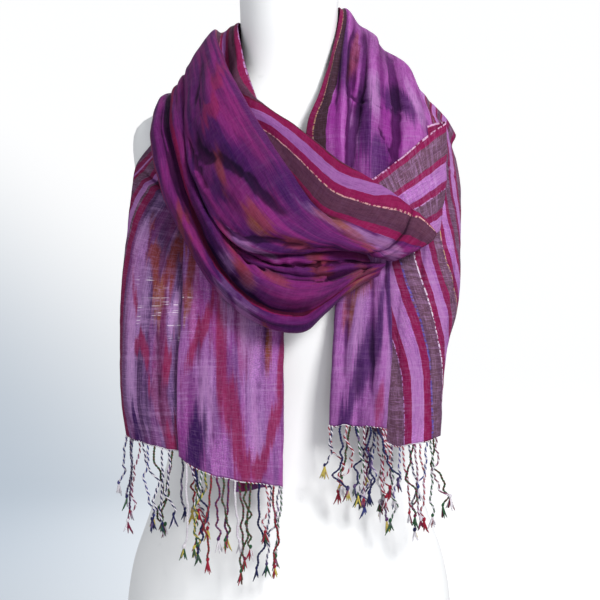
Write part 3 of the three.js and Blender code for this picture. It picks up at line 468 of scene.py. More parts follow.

# Creases: section and column where one starts, section and column where it ends, width and
# height in millimetres. A height below zero is a trough with a low swell beside it.
creases = {
    "front_swag": [
        (3.0, 9.0, 6.4, 7.2, 10, -6.5), (1.2, 7.6, 3.6, 8.6, 7, -3.4),
        (4.2, 6.8, 6.2, 6.5, 5, 1.8), (0.6, 9.2, 3.2, 9.6, 5, 2.6), (5.6, 8.6, 7.6, 8.8, 5, -3.2),
        (6.2, 9.3, 8.2, 9.2, 4, 2.2), (2.6, 2.4, 5.4, 4.5, 4, -1.2), (6.6, 6.6, 9.4, 6.4, 5, -2.2),
        (9.2, 1.4, 9.7, 9.8, 2.4, -3.2), (9.6, 1.4, 10.0, 9.8, 2.0, 2.4),
        (10.2, 3.0, 11.2, 6.4, 3, -1.9), (4.6, 7.4, 5.2, 8.4, 3, 1.6),
        (1.8, 6.6, 2.6, 7.6, 3, -1.5), (7.4, 7.4, 9.2, 8.4, 3.5, 2.0),
        (3.6, 7.6, 4.4, 7.2, 4, 1.6), (0.2, 1.5, 2.4, 1.2, 3, -1.2), (6.8, 3.0, 8.4, 4.2, 3, 0.9),
        (2.0, 8.9, 4.6, 8.2, 3.5, 2.6), (2.6, 9.6, 4.4, 8.8, 2.6, -3.0),
        (3.4, 9.4, 5.0, 9.0, 2.4, 2.0), (4.8, 9.3, 6.6, 8.2, 3, -2.6),
        (2.2, 8.0, 3.2, 8.4, 2.2, 1.8), (6.8, 9.6, 8.8, 8.9, 2.6, -2.4),
        (8.0, 8.2, 9.4, 9.0, 2.4, 1.6),
    ],
    "swag_pleats": [
        (1.0, 2.2, 6.6, 2.0, 4, 1.8), (0.8, 3.2, 5.2, 3.1, 3.0, -4.0),
        (3.2, 4.6, 8.0, 4.8, 3.0, -2.6), (1.4, 5.2, 5.0, 5.4, 3, -2.6),
        (5.4, 2.4, 8.6, 2.2, 2.6, -2.2), (6.2, 1.6, 9.4, 1.8, 3, -1.8),
        (7.4, 5.3, 10.4, 5.0, 2.4, -2.4), (8.0, 2.6, 11.0, 3.2, 3, 2.0),
        (9.2, 4.2, 11.4, 4.6, 2.4, -1.8), (2.2, 1.4, 4.8, 1.5, 2.4, 1.4),
        (4.4, 4.2, 6.6, 4.0, 3, 1.8), (0.2, 4.2, 2.0, 4.5, 3, -2.0),
        (1.6, 4.0, 3.6, 4.3, 2.2, 1.8), (5.0, 3.4, 7.6, 3.6, 2.4, 1.6),
        (7.0, 3.2, 9.6, 2.9, 2.2, -2.2),
    ],
    "swag_gathers": [
        (0.8, 1.6, 3.0, 2.2, 2.4, -3.4), (1.4, 0.8, 2.6, 1.5, 2, 2.4),
        (2.4, 2.6, 4.2, 2.0, 2.2, -3.2), (3.2, 0.9, 4.6, 1.6, 2.2, -2.8),
        (3.6, 2.8, 5.2, 2.5, 2.2, 2.4), (4.6, 1.2, 5.8, 2.4, 2, -2.4),
        (1.8, 3.0, 2.8, 3.5, 2, -2.2), (2.0, 1.4, 3.4, 1.2, 1.8, 2.2),
        (2.6, 0.9, 3.1, 3.4, 1.8, 2.4), (3.4, 3.2, 4.0, 1.2, 1.8, -2.0),
        (0.6, 2.8, 1.8, 2.2, 2, 1.8),
    ],
    "left_front": [
        (0.2, 2.4, 2.2, 2.9, 5, -2.0), (0.4, 3.6, 3.0, 3.3, 4, 1.5), (1.2, 4.3, 5.2, 4.0, 6, -1.8),
        (2.4, 1.6, 5.6, 1.9, 5, -1.3), (3.4, 3.0, 6.0, 2.8, 6, 1.4),
        (0.8, 1.7, 1.6, 3.4, 2.6, -1.2), (4.0, 4.5, 6.0, 4.4, 3.5, 1.1),
        (1.9, 3.9, 3.6, 4.5, 3.5, -1.1), (4.6, 2.3, 6.0, 2.2, 3, -0.9),
    ],
    "left_side": [
        (2.1, 3.5, 2.9, 0.8, 3.4, -3.0), (2.5, 3.6, 3.1, 0.9, 3, 2.0),
        (1.0, 2.8, 2.4, 2.2, 4, -1.6), (3.4, 2.6, 7.0, 2.4, 7, -1.5), (3.2, 1.2, 6.4, 1.5, 5, 1.5),
        (4.6, 3.3, 8.0, 3.2, 5, 1.1), (5.0, 1.8, 8.0, 1.6, 4, -1.3), (0.4, 1.4, 1.8, 1.8, 3, 1.2),
    ],
    "right_field": [
        (0.8, 1.6, 4.2, 1.9, 4, -3.4), (1.0, 3.4, 4.6, 3.2, 4, -3.8),
        (1.4, 5.2, 5.0, 4.8, 5, -3.6), (1.8, 6.3, 4.4, 5.8, 4, 2.2),
        (2.8, 5.3, 3.4, 6.2, 2.2, 2.0), (3.0, 2.3, 5.0, 2.2, 3, 1.9),
        (5.6, 3.2, 8.0, 3.0, 5, -2.8), (5.8, 4.6, 8.0, 4.9, 4, -2.6), (6.2, 5.6, 8.0, 5.4, 4, 1.8),
        (6.0, 2.4, 7.4, 2.7, 4, -1.6), (6.6, 3.8, 8.0, 3.9, 3.5, 1.5),
        (5.4, 5.6, 7.0, 5.8, 3, -2.0), (0.2, 4.4, 2.4, 4.3, 3.5, 2.2),
        (2.2, 4.3, 4.6, 4.0, 3, 1.8), (1.2, 2.6, 3.4, 2.6, 3, -2.0),
        (3.4, 4.2, 4.6, 5.4, 2.2, -1.8), (3.05, 2.2, 3.2, 4.6, 2.0, -1.9),
        (2.9, 4.4, 3.3, 5.6, 2.0, 1.6),
    ],
    "right_border": [
        (1.0, 2.4, 3.6, 2.8, 4, -1.8), (3.8, 2.6, 6.6, 3.2, 6, -1.5), (5.0, 4.2, 8.0, 4.0, 5, 1.4),
        (5.2, 2.0, 8.0, 2.3, 4, -1.2), (3.2, 1.6, 3.9, 5.2, 2.4, -1.4),
        (6.2, 3.4, 8.0, 3.2, 4, 1.1), (4.4, 5.0, 6.8, 4.7, 4, -1.5), (1.6, 4.0, 3.0, 4.6, 3, 1.2),
    ],
    "right_turn": [
        (0.6, 1.2, 4.4, 1.5, 5, -1.2), (1.8, 2.6, 4.6, 2.2, 4, 1.0), (2.6, 3.3, 4.8, 3.4, 3, -1.0),
        (3.6, 0.5, 4.6, 3.4, 3, -0.9),
    ],
    "nape_wrap": [
        (0.3, 3.5, 3.7, 3.2, 5, -2.4), (0.2, 6.2, 3.8, 6.5, 6, -2.8),
        (0.5, 8.4, 3.4, 8.8, 5, -2.2), (0.4, 5.0, 2.6, 5.3, 4, 1.6), (1.2, 7.6, 3.8, 7.2, 4, 1.8),
        (0.6, 10.0, 3.2, 9.8, 4, -1.6), (1.4, 4.4, 3.8, 4.2, 3.5, 1.3),
    ],
    "back_wrap": [
        (0.6, 1.8, 4.4, 2.0, 6, -2.6), (1.6, 3.0, 6.4, 3.2, 8, -3.2), (3.2, 1.4, 8.2, 1.6, 6, 2.4),
        (3.0, 4.0, 7.4, 4.2, 6, -2.4), (5.2, 2.4, 9.0, 2.2, 5, -2.2), (1.2, 2.5, 3.4, 2.8, 5, 2.0),
        (6.6, 3.4, 9.0, 3.8, 6, 1.8), (4.4, 0.6, 8.6, 0.8, 4, -1.6), (7.2, 1.2, 9.0, 3.6, 4, -1.6),
    ],
}

# Some of these patches are painted highlights and painted shade, as told at the pale and indigo
# ones
# Patches of dye as seen from the front: x and z of the middle, half width and half height in
# millimetres, and the lean of the long side to the right on its way down, in degrees
dye_and_painted_light_patches = {
    "rust": [
        (-133, 478, 4.5, 40, 5), (-118, 470, 4.5, 36, -14), (-98, 462, 4.5, 34, -10),
        (-103, 512, 4, 22, 0), (-31, 522, 8, 20, 42), (-45, 469, 5, 20, 30), (-8, 461, 5, 16, 65),
        (4, 496, 6, 14, 80), (42, 522, 7, 22, 62), (60, 506, 6, 14, 55), (76, 493, 4, 8, 45),
        (33, 474, 9, 14, 0), (77, 466, 7, 9, 0), (72, 459, 7, 20, -8), (61, 443, 5, 24, -10),
        (56, 427, 3, 20, -4), (-20, 396, 3.5, 22, 0), (67, 692, 5, 26, -10), (-68, 572, 4, 22, 12),
    ],
    "ochre": [
        (-128, 438, 5, 22, 0), (-98, 438, 3.5, 14, -8), (-20, 402, 2.5, 14, 0),
        (50, 516, 4, 10, 60), (66, 452, 4, 14, -8), (-36, 516, 4, 12, 42),
    ],
    # Indigo patches are dye. The four on the roll, at x -68, -45, 4 and 8, are painted shade in its
    # fold valley and in the hollow at its upper left
    "indigo_dye_and_shade": [
        (-45, 578, 13, 70, 52), (-68, 590, 9, 24, 20), (4, 552, 8, 34, 38), (-92, 549, 5, 34, 10),
        (-81, 518, 5, 30, 14), (-70, 555, 5, 22, 10), (-65, 469, 6, 34, 24), (-36, 441, 8, 26, 55),
        (90, 582, 10, 24, 0), (76, 618, 7, 44, 0), (55, 690, 9, 40, 2), (112, 640, 10, 26, 40),
        (90, 419, 5, 30, -6), (81, 397, 7, 30, -10), (70, 368, 7, 32, -12), (59, 335, 7, 28, -14),
        (101, 423, 4, 44, 2), (-150, 318, 2.4, 28, 8), (-91, 294, 9, 40, -6), (8, 562, 5, 22, 34),
    ],
    "rose": [
        (-146, 407, 2.6, 56, 11), (-119, 384, 2.6, 34, -8), (-114, 312, 4, 22, -6),
        (-85, 410, 5, 40, -22), (-66, 394, 5.5, 52, 0), (-57, 346, 8, 26, 6),
        (-50, 310, 6.5, 36, 4), (-44, 280, 9, 18, 0), (-16, 318, 5.5, 34, -16),
        (-8, 372, 3.5, 30, -4), (-28, 286, 6, 22, -22), (-55, 493, 6, 22, 30),
        (-76, 650, 5, 36, -14), (89, 333, 4, 20, 0), (41, 478, 7, 8, 0),
    ],
    # Pale patches are dye. The two on the gathers, at x -38 and -12, are painted highlights on
    # their folds
    "pale": [
        (-146, 470, 7, 60, 0), (-155, 400, 6, 76, 0), (-111, 439, 9, 16, 0), (69, 423, 8, 40, -6),
        (99, 352, 5, 44, -4), (66, 612, 6, 28, 0), (85, 650, 7, 22, 0), (-32, 352, 9, 70, 0),
        (-40, 425, 8, 34, 0), (130, 638, 5, 26, 20), (-60, 450, 7, 40, 0), (-80, 340, 8, 40, 4),
        (74, 502, 6, 26, 64), (98, 492, 9, 13, 40), (-38, 493, 4, 18, 62), (-12, 484, 3, 12, 72),
        (28, 527, 4, 26, 58),
    ],
    "slub": [
        (-118, 435, 20, 11, 0), (-140, 448, 10, 14, 0),
    ],
}

# Name, sections, threads, clearance from the form, from the stretch that lies underneath all
# others to the one on top
stretches = [
    ("nape_wrap", nape_wrap, nape_threads, 2),
    ("back_wrap", back_wrap, [[180, 150, 110, 74, 38, 0]], 5),
    ("right_border", right_border, border_threads, 4),
    ("right_field", right_field, [[0, 9, 32, 48, 64, 82, 100, 116]], 2),
    ("left_side", left_side, side_threads, 3),
    ("left_front", left_front, [[100, 110, 132, 158, 184, 206, 216, 240]], 2),
    ("right_turn", right_turn, [[0, 18, 35, 53, 70]], 2),
    ("swag_pleats", swag_pleats, pleat_threads, 3),
    ("swag_gathers", swag_gathers, [[90, 100, 110, 120, 130]], 2),
    ("front_swag", front_swag, swag_threads, 2),
]

# In millimetres: what a stretch keeps from the one over it, how far out the search for that one
# starts, and how far in it ends
cover_clearance, search_out, search_in = 1.3, 120, 16

# A crease: points along it, how far it bows aside in columns, how fast it fades at its ends.
# The swell beside a trough: its distance and width in widths of the crease, its share of the
# height
crease_points, crease_bow, crease_fade = 17, 0.16, 0.7
swell_place, swell_width, swell_share = 1.9, 0.9, 0.38

# Unevenness of the cloth and waves of a hem: height and size in millimetres
unevenness = ((0.55, 17), (0.22, 7))
hem_waves = ((1.6, 14), (0.9, 5))
hem_fade = 12  # power with which the waves fade away from the hem

# Bundles of warp threads that slip together: width in millimetres and share of the slip
bundles = ((16.0, 0.55), (5.6, 1.0), (2.4, 0.35))
bundle_count = 400  # after which the slips repeat
first_thread = -60  # below the number of any thread, in millimetres from the selvedge

patch_fade = 1.6  # how far out a patch of dye ends, in half sizes
patch_front = -15  # the patches lie on the cloth with a y below this one
# Painted shade in the valleys of the folds, from how deep a point lies under its neighbours
valley_reaches = (2, 5)  # neighbours on each side that a point is compared with
valley_depth = 3.0  # millimetres under them that count as a full valley


def tucked(grid, covers):
    """The grid with the points that stand outside the cloth over them moved to just under it."""
    direction, _ = out_of_form(grid[..., :3])
    for index in np.ndindex(grid.shape[:2]):
        outwards = Vector(direction[index])
        for cover in covers:
            start = Vector(grid[index][:3]) + outwards * search_out
            distance = cover.ray_cast(start, -outwards, search_out + search_in)[3]
            if distance is not None and distance > search_out - cover_clearance:
                grid[index][:3] -= np.array(outwards) * (distance - search_out + cover_clearance)
    return grid


def grid_faces(grid):
    """The four-sided faces between the points of a grid."""
    rows, columns = grid.shape[:2]
    index = np.arange(rows * columns).reshape(rows, columns)
    faces = np.stack([index[:-1, :-1], index[1:, :-1], index[1:, 1:], index[:-1, 1:]], -1)
    return faces.reshape(-1, 4)


def tree_of(grid):
    """What rays can be cast at, from a grid of points."""
    return BVHTree.FromPolygons(grid[..., :3].reshape(-1, 3).tolist(), grid_faces(grid).tolist())


def crease(grid, out, sections, columns, line):
    """How far one crease moves each point of the grid along its normal, in millimetres."""
    row0, column0, row1, column1, width, height = line
    shares = np.linspace(0, 1, crease_points)
    way = 1 if (row0 * 7 + column0 * 3) % 2 > 1 else -1  # some bow to one side, some to the other
    bow = crease_bow * np.sin(np.pi * shares) * way
    i = (row0 + (row1 - row0) * shares) / (sections - 1) * (grid.shape[0] - 1)
    j = (column0 + (column1 - column0) * shares + bow) / (columns - 1) * (grid.shape[1] - 1)
    i = np.clip(np.rint(i).astype(int), 0, grid.shape[0] - 1)
    j = np.clip(np.rint(j).astype(int), 0, grid.shape[1] - 1)
    path = grid[i, j, :3]
    nearest = np.full(grid.shape[:2], 1e9)
    share = np.zeros(grid.shape[:2])
    side = np.zeros(grid.shape[:2])
    for k in range(len(path) - 1):
        step = path[k + 1] - path[k]
        facing = out[i[k], j[k]]
        from_start = grid[..., :3] - path[k]
        t = np.clip((from_start @ step) / max(step @ step, 1e-9), 0, 1)
        away = from_start - t[..., None] * step
        distance = np.linalg.norm(away, axis=-1)
        closer = (distance < nearest) & (out @ facing > 0.1)
        share = np.where(closer, (k + t) / (len(path) - 1), share)
        side = np.where(closer, np.sign(away @ np.cross(step, facing)), side)
        nearest = np.where(closer, distance, nearest)
    move = height * np.exp(-((nearest / width) ** 2))
    if height < 0:
        swell = np.exp(-(((nearest - swell_place * width) / (swell_width * width)) ** 2))
        move -= swell_share * height * swell * (side > 0)
    return move * np.sin(np.pi * np.clip(share, 0, 1)) ** crease_fade


def carved(name, grid, sections, columns, seed):
    """The grid with its creases, its small unevenness and, along a fringe, its wavy hem."""
    out, _ = outer_side(grid)
    points = grid[..., :3]
    move = sum(crease(grid, out, sections, columns, line) for line in creases[name])
    for number, (height, size) in enumerate(unevenness):
        move = move + height * lumps(points, size, seed + number)
    grid = grid.copy()
    grid[..., :3] += out * move[..., None]
    if name in fringe_rows:
        waves = sum(height * lumps(points, size, seed + len(unevenness) + number)
                    for number, (height, size) in enumerate(hem_waves))
        grid[..., 2] += np.linspace(0, 1, len(grid))[:, None] ** hem_fade * waves
    return grid


def slipped(grid, reach, seed):
    """The grid's points as they lay when they were dyed: each bundle of warp threads has since
    slipped along its own length."""
    random = np.random.default_rng(seed)
    slip = np.zeros(grid.shape[:2])
    for width, share in bundles:
        slips_of = random.uniform(-1, 1, bundle_count)
        number = np.floor((grid[..., 3] - first_thread) / width).astype(int)
        slip += share * reach * slips_of[number % bundle_count]
    step = lengths(grid, 0)[-1].mean() / (len(grid) - 1)
    row = np.arange(len(grid))[:, None] + slip / step
    row = np.clip(np.rint(row).astype(int), 0, len(grid) - 1)
    return grid[row, np.arange(grid.shape[1])[None, :], :3]


def patches_at(points, dye):
    """How much of a dye the cloth takes at each point, from 0 to 1."""
    amount = np.zeros(points.shape[:-1])
    for x, z, half_width, half_height, lean in dye_and_painted_light_patches[dye]:
        angle = math.radians(lean)
        along = np.array([math.sin(angle), -math.cos(angle)])
        offset = points[..., [0, 2]] - (x, z)
        down = abs(offset @ along) / half_height
        aside = abs(offset @ np.array([along[1], -along[0]])) / half_width
        amount = np.maximum(amount, 1 - np.cbrt(down**3 + aside**3) / patch_fade)
    return np.where(points[..., 1] < patch_front, np.clip(amount, 0, 1), 0)


def blurred(points, reach):
    """The points, each averaged with its neighbours on the grid."""
    for axis in (0, 1):
        swapped = np.swapaxes(points, 0, axis)
        padded = np.concatenate([swapped[:1]] * reach + [swapped] + [swapped[-1:]] * reach)
        total = sum(padded[k:k + len(swapped)] for k in range(2 * reach + 1))
        points = np.swapaxes(total / (2 * reach + 1), 0, axis)
    return points


def valleys(points, out):
    """How deep each point lies in a fold, from 0 to 1: the mask of the painted shade in folds."""
    depth = sum(np.sum((blurred(points, reach) - points) * out, axis=-1)
                for reach in valley_reaches)
    return np.clip(depth / valley_depth, 0, 1)


def scene_object(name, data):
    """A new object in the scene, for a mesh, a camera or a lamp."""
    made = bpy.data.objects.new(name, data)
    bpy.context.scene.collection.objects.link(made)
    return made


def mesh_piece(name, points, faces, finish, values, uv=None):
    """A mesh object from points in millimetres, with values at its points and a UV map."""
    mesh = bpy.data.meshes.new(name)
    mesh.from_pydata((points * MM).tolist(), [], faces)
    mesh.polygons.foreach_set("use_smooth", [True] * len(mesh.polygons))
    if uv is not None:
        corner = np.zeros(len(mesh.loops), int)
        mesh.loops.foreach_get("vertex_index", corner)
        layer = mesh.uv_layers.new(name="threads")
        layer.data.foreach_set("uv", (uv[corner] * MM).ravel())
    for key, amounts in values.items():
        mesh.attributes.new(key, "FLOAT", "POINT").data.foreach_set("value", np.ravel(amounts))
    mesh.materials.append(finish)
    return scene_object(name, mesh)


def cloth_piece(name, grid, finish, slip, seed):
    """A thin shell of cloth on a grid of points."""
    faces = grid_faces(grid)
    out, turned = outer_side(grid)
    if turned:
        faces = faces[:, ::-1]
    along = lengths(grid, 0).mean(axis=1, keepdims=True) * np.ones((1, grid.shape[1]))
    uv = np.stack([grid[..., 3], along], -1).reshape(-1, 2)
    points = grid[..., :3]
    dyed_points = slipped(grid, slip, seed)
    values = {dye: patches_at(dyed_points, dye) for dye in dye_and_painted_light_patches}
    # Mask of the painted shade in the valleys of the folds
    values["valley"] = valleys(points, out)
    piece = mesh_piece(name + "_cloth", points.reshape(-1, 3), faces.tolist(), finish, values, uv)
    shell = piece.modifiers.new("thickness", "SOLIDIFY")
    shell.thickness = cloth_thickness
    shell.offset = 0
    return piece


class Finish:
    """A material that is put together node by node."""

    def __init__(self, name, roughness, specular=0.5, sheen=0.0, sheen_tint=(1, 1, 1)):
        self.material = bpy.data.materials.new(name)
        self.material.use_nodes = True
        self.nodes = self.material.node_tree.nodes
        self.links = self.material.node_tree.links
        self.shader = self.nodes["Principled BSDF"]
        self.fill(self.shader, {
            "Roughness": roughness, "Specular IOR Level": specular, "Sheen Weight": sheen,
            "Sheen Roughness": 0.45, "Sheen Tint": sheen_tint})

    def put(self, socket, value):
        """Links a socket to another, or sets its value."""
        if isinstance(value, bpy.types.NodeSocket):
            self.links.new(value, socket)
        elif value is not None:
            if hasattr(socket.default_value, "__len__") and len(socket.default_value) == 4:
                value = (*value, 1)[:4]
            socket.default_value = value

    def fill(self, node, sockets):
        """Puts something into each of the named sockets of a node."""
        for name, value in sockets.items():
            self.put(node.inputs[name], value)
        return node

    def node(self, kind, *values, **settings):
        """A node with its settings, and with values for its first sockets."""
        made = self.nodes.new("ShaderNode" + kind)
        for key, value in settings.items():
            setattr(made, key, value)
        for socket, value in zip(made.inputs, values):
            self.put(socket, value)
        return made

    def attribute(self, name):
        """The values that a mesh has under that name."""
        return self.node("Attribute", attribute_name=name).outputs["Fac"]

    def math(self, operation, a, b=None):
        return self.node("Math", a, b, operation=operation).outputs[0]

    def times(self, a, b):
        return self.math("MULTIPLY", a, b)

    def noise(self, vector, scale=1.0, detail=2.0):
        sockets = {"Vector": vector, "Scale": scale, "Detail": detail}
        return self.fill(self.node("TexNoise"), sockets).outputs["Fac"]

    def stretched(self, u, v, across, along, seed=0.0):
        """A vector with the thread's place scaled one way and the way along it the other."""
        return self.node("CombineXYZ", self.times(u, across), self.times(v, along),
                         seed).outputs[0]

    def mix(self, share, a, b, blend="MIX"):
        made = self.node("Mix", data_type="RGBA", blend_type=blend)
        for index, value in ((0, share), (6, a), (7, b)):
            self.put(made.inputs[index], value)
        return made.outputs[2]

    def smooth(self, value, low, high, to_low=0.0, to_high=1.0):
        made = self.node("MapRange", value, low, high, to_low, to_high,
                         interpolation_type="SMOOTHSTEP")
        return made.outputs[0]

    def ramp(self, value, stops, interpolation="LINEAR"):
        made = self.node("ValToRGB", value)
        made.color_ramp.interpolation = interpolation
        elements = made.color_ramp.elements
        while len(elements) < len(stops):
            elements.new(0.5)
        while len(elements) > len(stops):
            elements.remove(elements[-1])
        stops = sorted(stops, key=lambda stop: stop[0])
        for element, (place, _) in zip(elements, stops):
            element.position = place
        for element, (_, colour) in zip(elements, stops):
            element.color = (*colour, 1)[:4]
        return made

    def bump(self, height, strength, distance, under=None):
        sockets = {"Strength": strength, "Distance": distance, "Height": height, "Normal": under}
        return self.fill(self.node("Bump"), sockets).outputs[0]


# Stripes of the borders: millimetres from the selvedge where each starts, and its colour. The
# field, which is dyed before it is woven, has none.
field = None
swag_stripes = [
    (-20, crimson), (7, plum_taupe), (21, deep_crimson), (22.5, crimson), (30, mauve_grey),
    (40, crimson), (48.5, plum_taupe), (63.5, crimson), (70.5, field),
]
turn_stripes = [
    (-20, crimson), (6, taupe), (21, crimson), (26, pale_orchid), (37.5, crimson), (43, taupe),
    (55, crimson), (60, pale_orchid),
]
neck_stripes = [(-20, crimson), (8, deep_taupe), (20, field)]
border_stripes = [
    (-40, taupe), (12, crimson), (20, pale_orchid), (33.5, crimson), (42, taupe), (58.8, crimson),
    (66, pale_orchid), (78, crimson), (85.5, taupe), (98, crimson), (104, pale_orchid),
    (114, crimson), (119, taupe), (128, crimson), (133, pale_orchid), (141, crimson), (146, taupe),
    (155, crimson),
]
fold_stripes = [(216, crimson), (220, field), (244, crimson), (248, pale_orchid), (278, crimson)]
nape_stripes = (swag_stripes + fold_stripes
                + [(200 + start, colour) for start, colour in border_stripes[8:]])
side_stripes = [
    (-40, taupe), (-9, crimson), (-3, pale_orchid), (-1, crimson), (2.5, taupe), (12, crimson),
    (17, pale_orchid), (23.5, taupe), (26.2, crimson), (34, field),
]
pleat_stripes = [(-20, orchid), (2, crimson), (6, field), (30, crimson), (34, field)]
plain_stripes = [(-20, field)]
stripe_start = -0.04  # metres from the selvedge, below the first stripe of every border
last_stripe = 20  # millimetres that the last stripe keeps at least

# Raised lines of thicker yarn, which the weft covers here and there: millimetres from the
# selvedge, half width, colour
swag_lines = [(0.3, 0.9, pale_lilac), (48.2, 0.65, rose_gold)]
turn_lines = [(0.2, 1.25, petal), (43.4, 0.5, pale_lilac)]
neck_lines = [(7.8, 0.7, gold)]
border_lines = [(12.0, 0.5, pale_lilac), (43.4, 1.1, blue_line), (59.0, 0.8, slub_white),
                (97.6, 0.8, gold)]

# Noises that follow the threads: scale across the warp, scale along it, seed, detail, and the
# two values between which each comes out. They make the streaks of the warp, the wander of the
# stripes, the worn places of the raised lines, the thick and thin of weft and warp, paler bands,
# flecks and where these are silvery, and slubs.
grains = {
    "streak": (130, 7, 7, 3, 0.38, 0.62),
    "wander": (0, 90, 0, 2, 0, 1),
    "worn": (260, 430, 21, 3, 0.42, 0.54),
    "weft": (170, 1300, 3, 2, 0.44, 0.74),
    "warp": (1300, 110, 5, 2, 0.52, 0.76),
    "bands": (14, 340, 23, 2, 0.50, 0.72),
    "fleck": (1000, 800, 31, 2, 0.40, 0.70),
    "silver": (40, 14, 17, 2, 0.46, 0.66),
    "slub": (22, 640, 11, 1, 0.60, 0.72),
}
blot_scales = (46, 8)  # of the colours that drift over the ground, across the warp and along it
blot_edges = (0.53, 0.60)

# In metres: narrow bundle of warp threads, how far it slips, how far its slip feathers a patch,
# how far the stripes wander, and one thread with the gap beside it
warp_bundle, bundle_slip, patch_feather, stripe_wander = 0.0009, 0.016, 0.22, 0.002
thread_pitch = 0.0008

# The pale patches are partly painted highlights, and the indigo ones partly painted shade
# Patches of dye, from the first to the last: colour, and how much of it the cloth takes
dyes_and_painted_light = {
    "pale": (pale_lilac, 0.6), "indigo_dye_and_shade": (indigo_dye_and_shade, 1.0), "rose": (rose, 0.95),
    "rust": (rust, 0.88), "ochre": (ochre, 0.7),
}

# What the cloth is multiplied by: between the streaks, between the warp threads, in the gaps of
# the weave, and as painted shade in the valleys of the folds
streak_shade = (0.66, 0.46, 0.78)
warp_shade = (0.45, 0.35, 0.5)
gap_shade = (0.4, 0.3, 0.45)
painted_valley_shade = (0.24, 0.11, 0.28)


def cloth_finish(name, stripes, lines, seed, ground_colours, shapes, weft_share, strength,
                 far=None):
    """Loose plain weave: dyed warp streaks, woven border stripes, slubs, a soft nap, and painted
    shade in the valleys of the folds.

    Further along the warp the ground may pass into two other colours, between two distances in
    metres."""
    f = Finish(name, roughness=0.74, specular=0.10, sheen=0.05, sheen_tint=(0.90, 0.50, 0.92))
    u, v, _ = f.node("SeparateXYZ", f.node("UVMap", uv_map="threads").outputs[0]).outputs

    def grain(kind, along=v):
        """A noise of the table."""
        *scales, offset, detail, _, _ = grains[kind]
        return f.noise(f.stretched(u, along, *scales, seed + offset), detail=detail)

    def shown(kind, noise, to_low=0.0, to_high=1.0):
        """How much of a noise comes out, between the two values of the table."""
        return f.smooth(noise, *grains[kind][4:], to_low, to_high)

    # Warp streaks, each narrow bundle of threads slipped by its own amount
    random = f.node("TexWhiteNoise", noise_dimensions="1D")
    f.fill(random, {"W": f.math("FLOOR", f.math("DIVIDE", u, warp_bundle))})
    slip = f.math("SUBTRACT", random.outputs["Value"], 0.5)
    ragged_v = f.math("ADD", v, f.times(slip, bundle_slip))
    streak = grain("streak", ragged_v)
    dyed = f.mix(shown("streak", streak), *ground_colours)
    for number, (colour, share) in enumerate(shapes):
        blot = f.noise(f.stretched(u, ragged_v, *blot_scales, seed + 13 * number), detail=1)
        dyed = f.mix(f.smooth(blot, *blot_edges, 0, share), dyed, colour)
    if far:
        far_colours, fade_start, fade_end = far
        beyond = f.mix(shown("streak", streak), *far_colours)
        dyed = f.mix(f.smooth(v, fade_start, fade_end), dyed, beyond)

    # Patches of dye, painted highlights and painted shade, feathered along the warp
    feather = f.times(slip, patch_feather)
    for dye, (colour, share) in dyes_and_painted_light.items():
        amount = f.math("ADD", f.attribute(dye), feather)
        dyed = f.mix(f.smooth(amount, 0.14, 0.62, 0, share * strength), dyed, colour)

    # Border stripes, and the raised lines on them
    wander = f.times(f.math("SUBTRACT", grain("wander"), 0.5), stripe_wander)
    from_selvedge = f.math("ADD", u, wander)
    stripe_span = (stripes[-1][0] + last_stripe) * MM - stripe_start
    place = f.times(f.math("SUBTRACT", from_selvedge, stripe_start), 1 / stripe_span)
    stops = [(max((start * MM - stripe_start) / stripe_span, 0),
              (*colour, 1) if colour else (0, 0, 0, 0)) for start, colour in stripes]
    woven = f.ramp(place, stops, "CONSTANT")
    base = f.mix(woven.outputs["Alpha"], dyed, woven.outputs["Color"])
    worn = grain("worn")
    for centre, half, colour in lines:
        away = f.math("ABSOLUTE", f.math("SUBTRACT", from_selvedge, centre * MM))
        covered = f.times(f.smooth(away, 0.8 * half * MM, 1.15 * half * MM, 1, 0),
                          shown("worn", worn, 0, 0.9))
        base = f.mix(covered, base, colour)

    # Weft threads cross the warp with a paler yarn, thick and thin by turns. Less of it shows
    # where the warp is dark.
    weft, warp = grain("weft"), grain("warp")
    base = f.mix(f.smooth(streak, 0.36, 0.62, 0.5, 0), base, streak_shade, "MULTIPLY")
    green = f.node("SeparateColor", base).outputs["Green"]
    pale_share = f.times(f.smooth(green, 0.012, 0.075, 0.4, 1.5), weft_share)
    for amount in (shown("weft", weft), shown("warp", warp)):
        base = f.mix(f.times(amount, pale_share), base, pale_lilac)
    base = f.mix(f.smooth(warp, 0.30, 0.52, 0.45, 0), base, warp_shade, "MULTIPLY")
    bands = shown("bands", grain("bands"), 0, 0.8)
    base = f.mix(f.times(bands, pale_share), base, pale_lilac)
    fleck = f.times(shown("fleck", grain("fleck"), 0, 2.4), pale_share)
    silver = shown("silver", grain("silver"), 0.1, 1)
    base = f.mix(f.times(fleck, silver), base, slub_white, "OVERLAY")
    slub = shown("slub", grain("slub"), 0, 0.9)
    base = f.mix(f.times(slub, f.smooth(f.attribute("slub"), 0.1, 0.6)), base, slub_white)

    # The threads themselves, and painted shade in the valleys of the folds, where they keep out the
    # light
    waves = [f.math("SINE", f.times(way, 2 * math.pi / thread_pitch)) for way in (u, v)]
    weave = f.times(*waves)
    base = f.mix(f.smooth(weave, -1, 1, 0.35, 0), base, gap_shade, "MULTIPLY")
    base = f.mix(f.smooth(f.attribute("valley"), 0.05, 0.75, 0, 0.95), base, painted_valley_shade,
                 "MULTIPLY")
    crumple = f.noise(f.node("TexCoord").outputs["Object"], 95, 3)
    raised = f.math("ADD", weave, f.math("ADD", f.times(weft, 1.6), warp))
    f.fill(f.shader, {
        "Base Color": base, "Roughness": f.smooth(weft, 0.3, 0.7, 0.80, 0.62),
        "Normal": f.bump(raised, 0.35, 0.00025, f.bump(crumple, 0.35, 0.0016))})
    return f.material


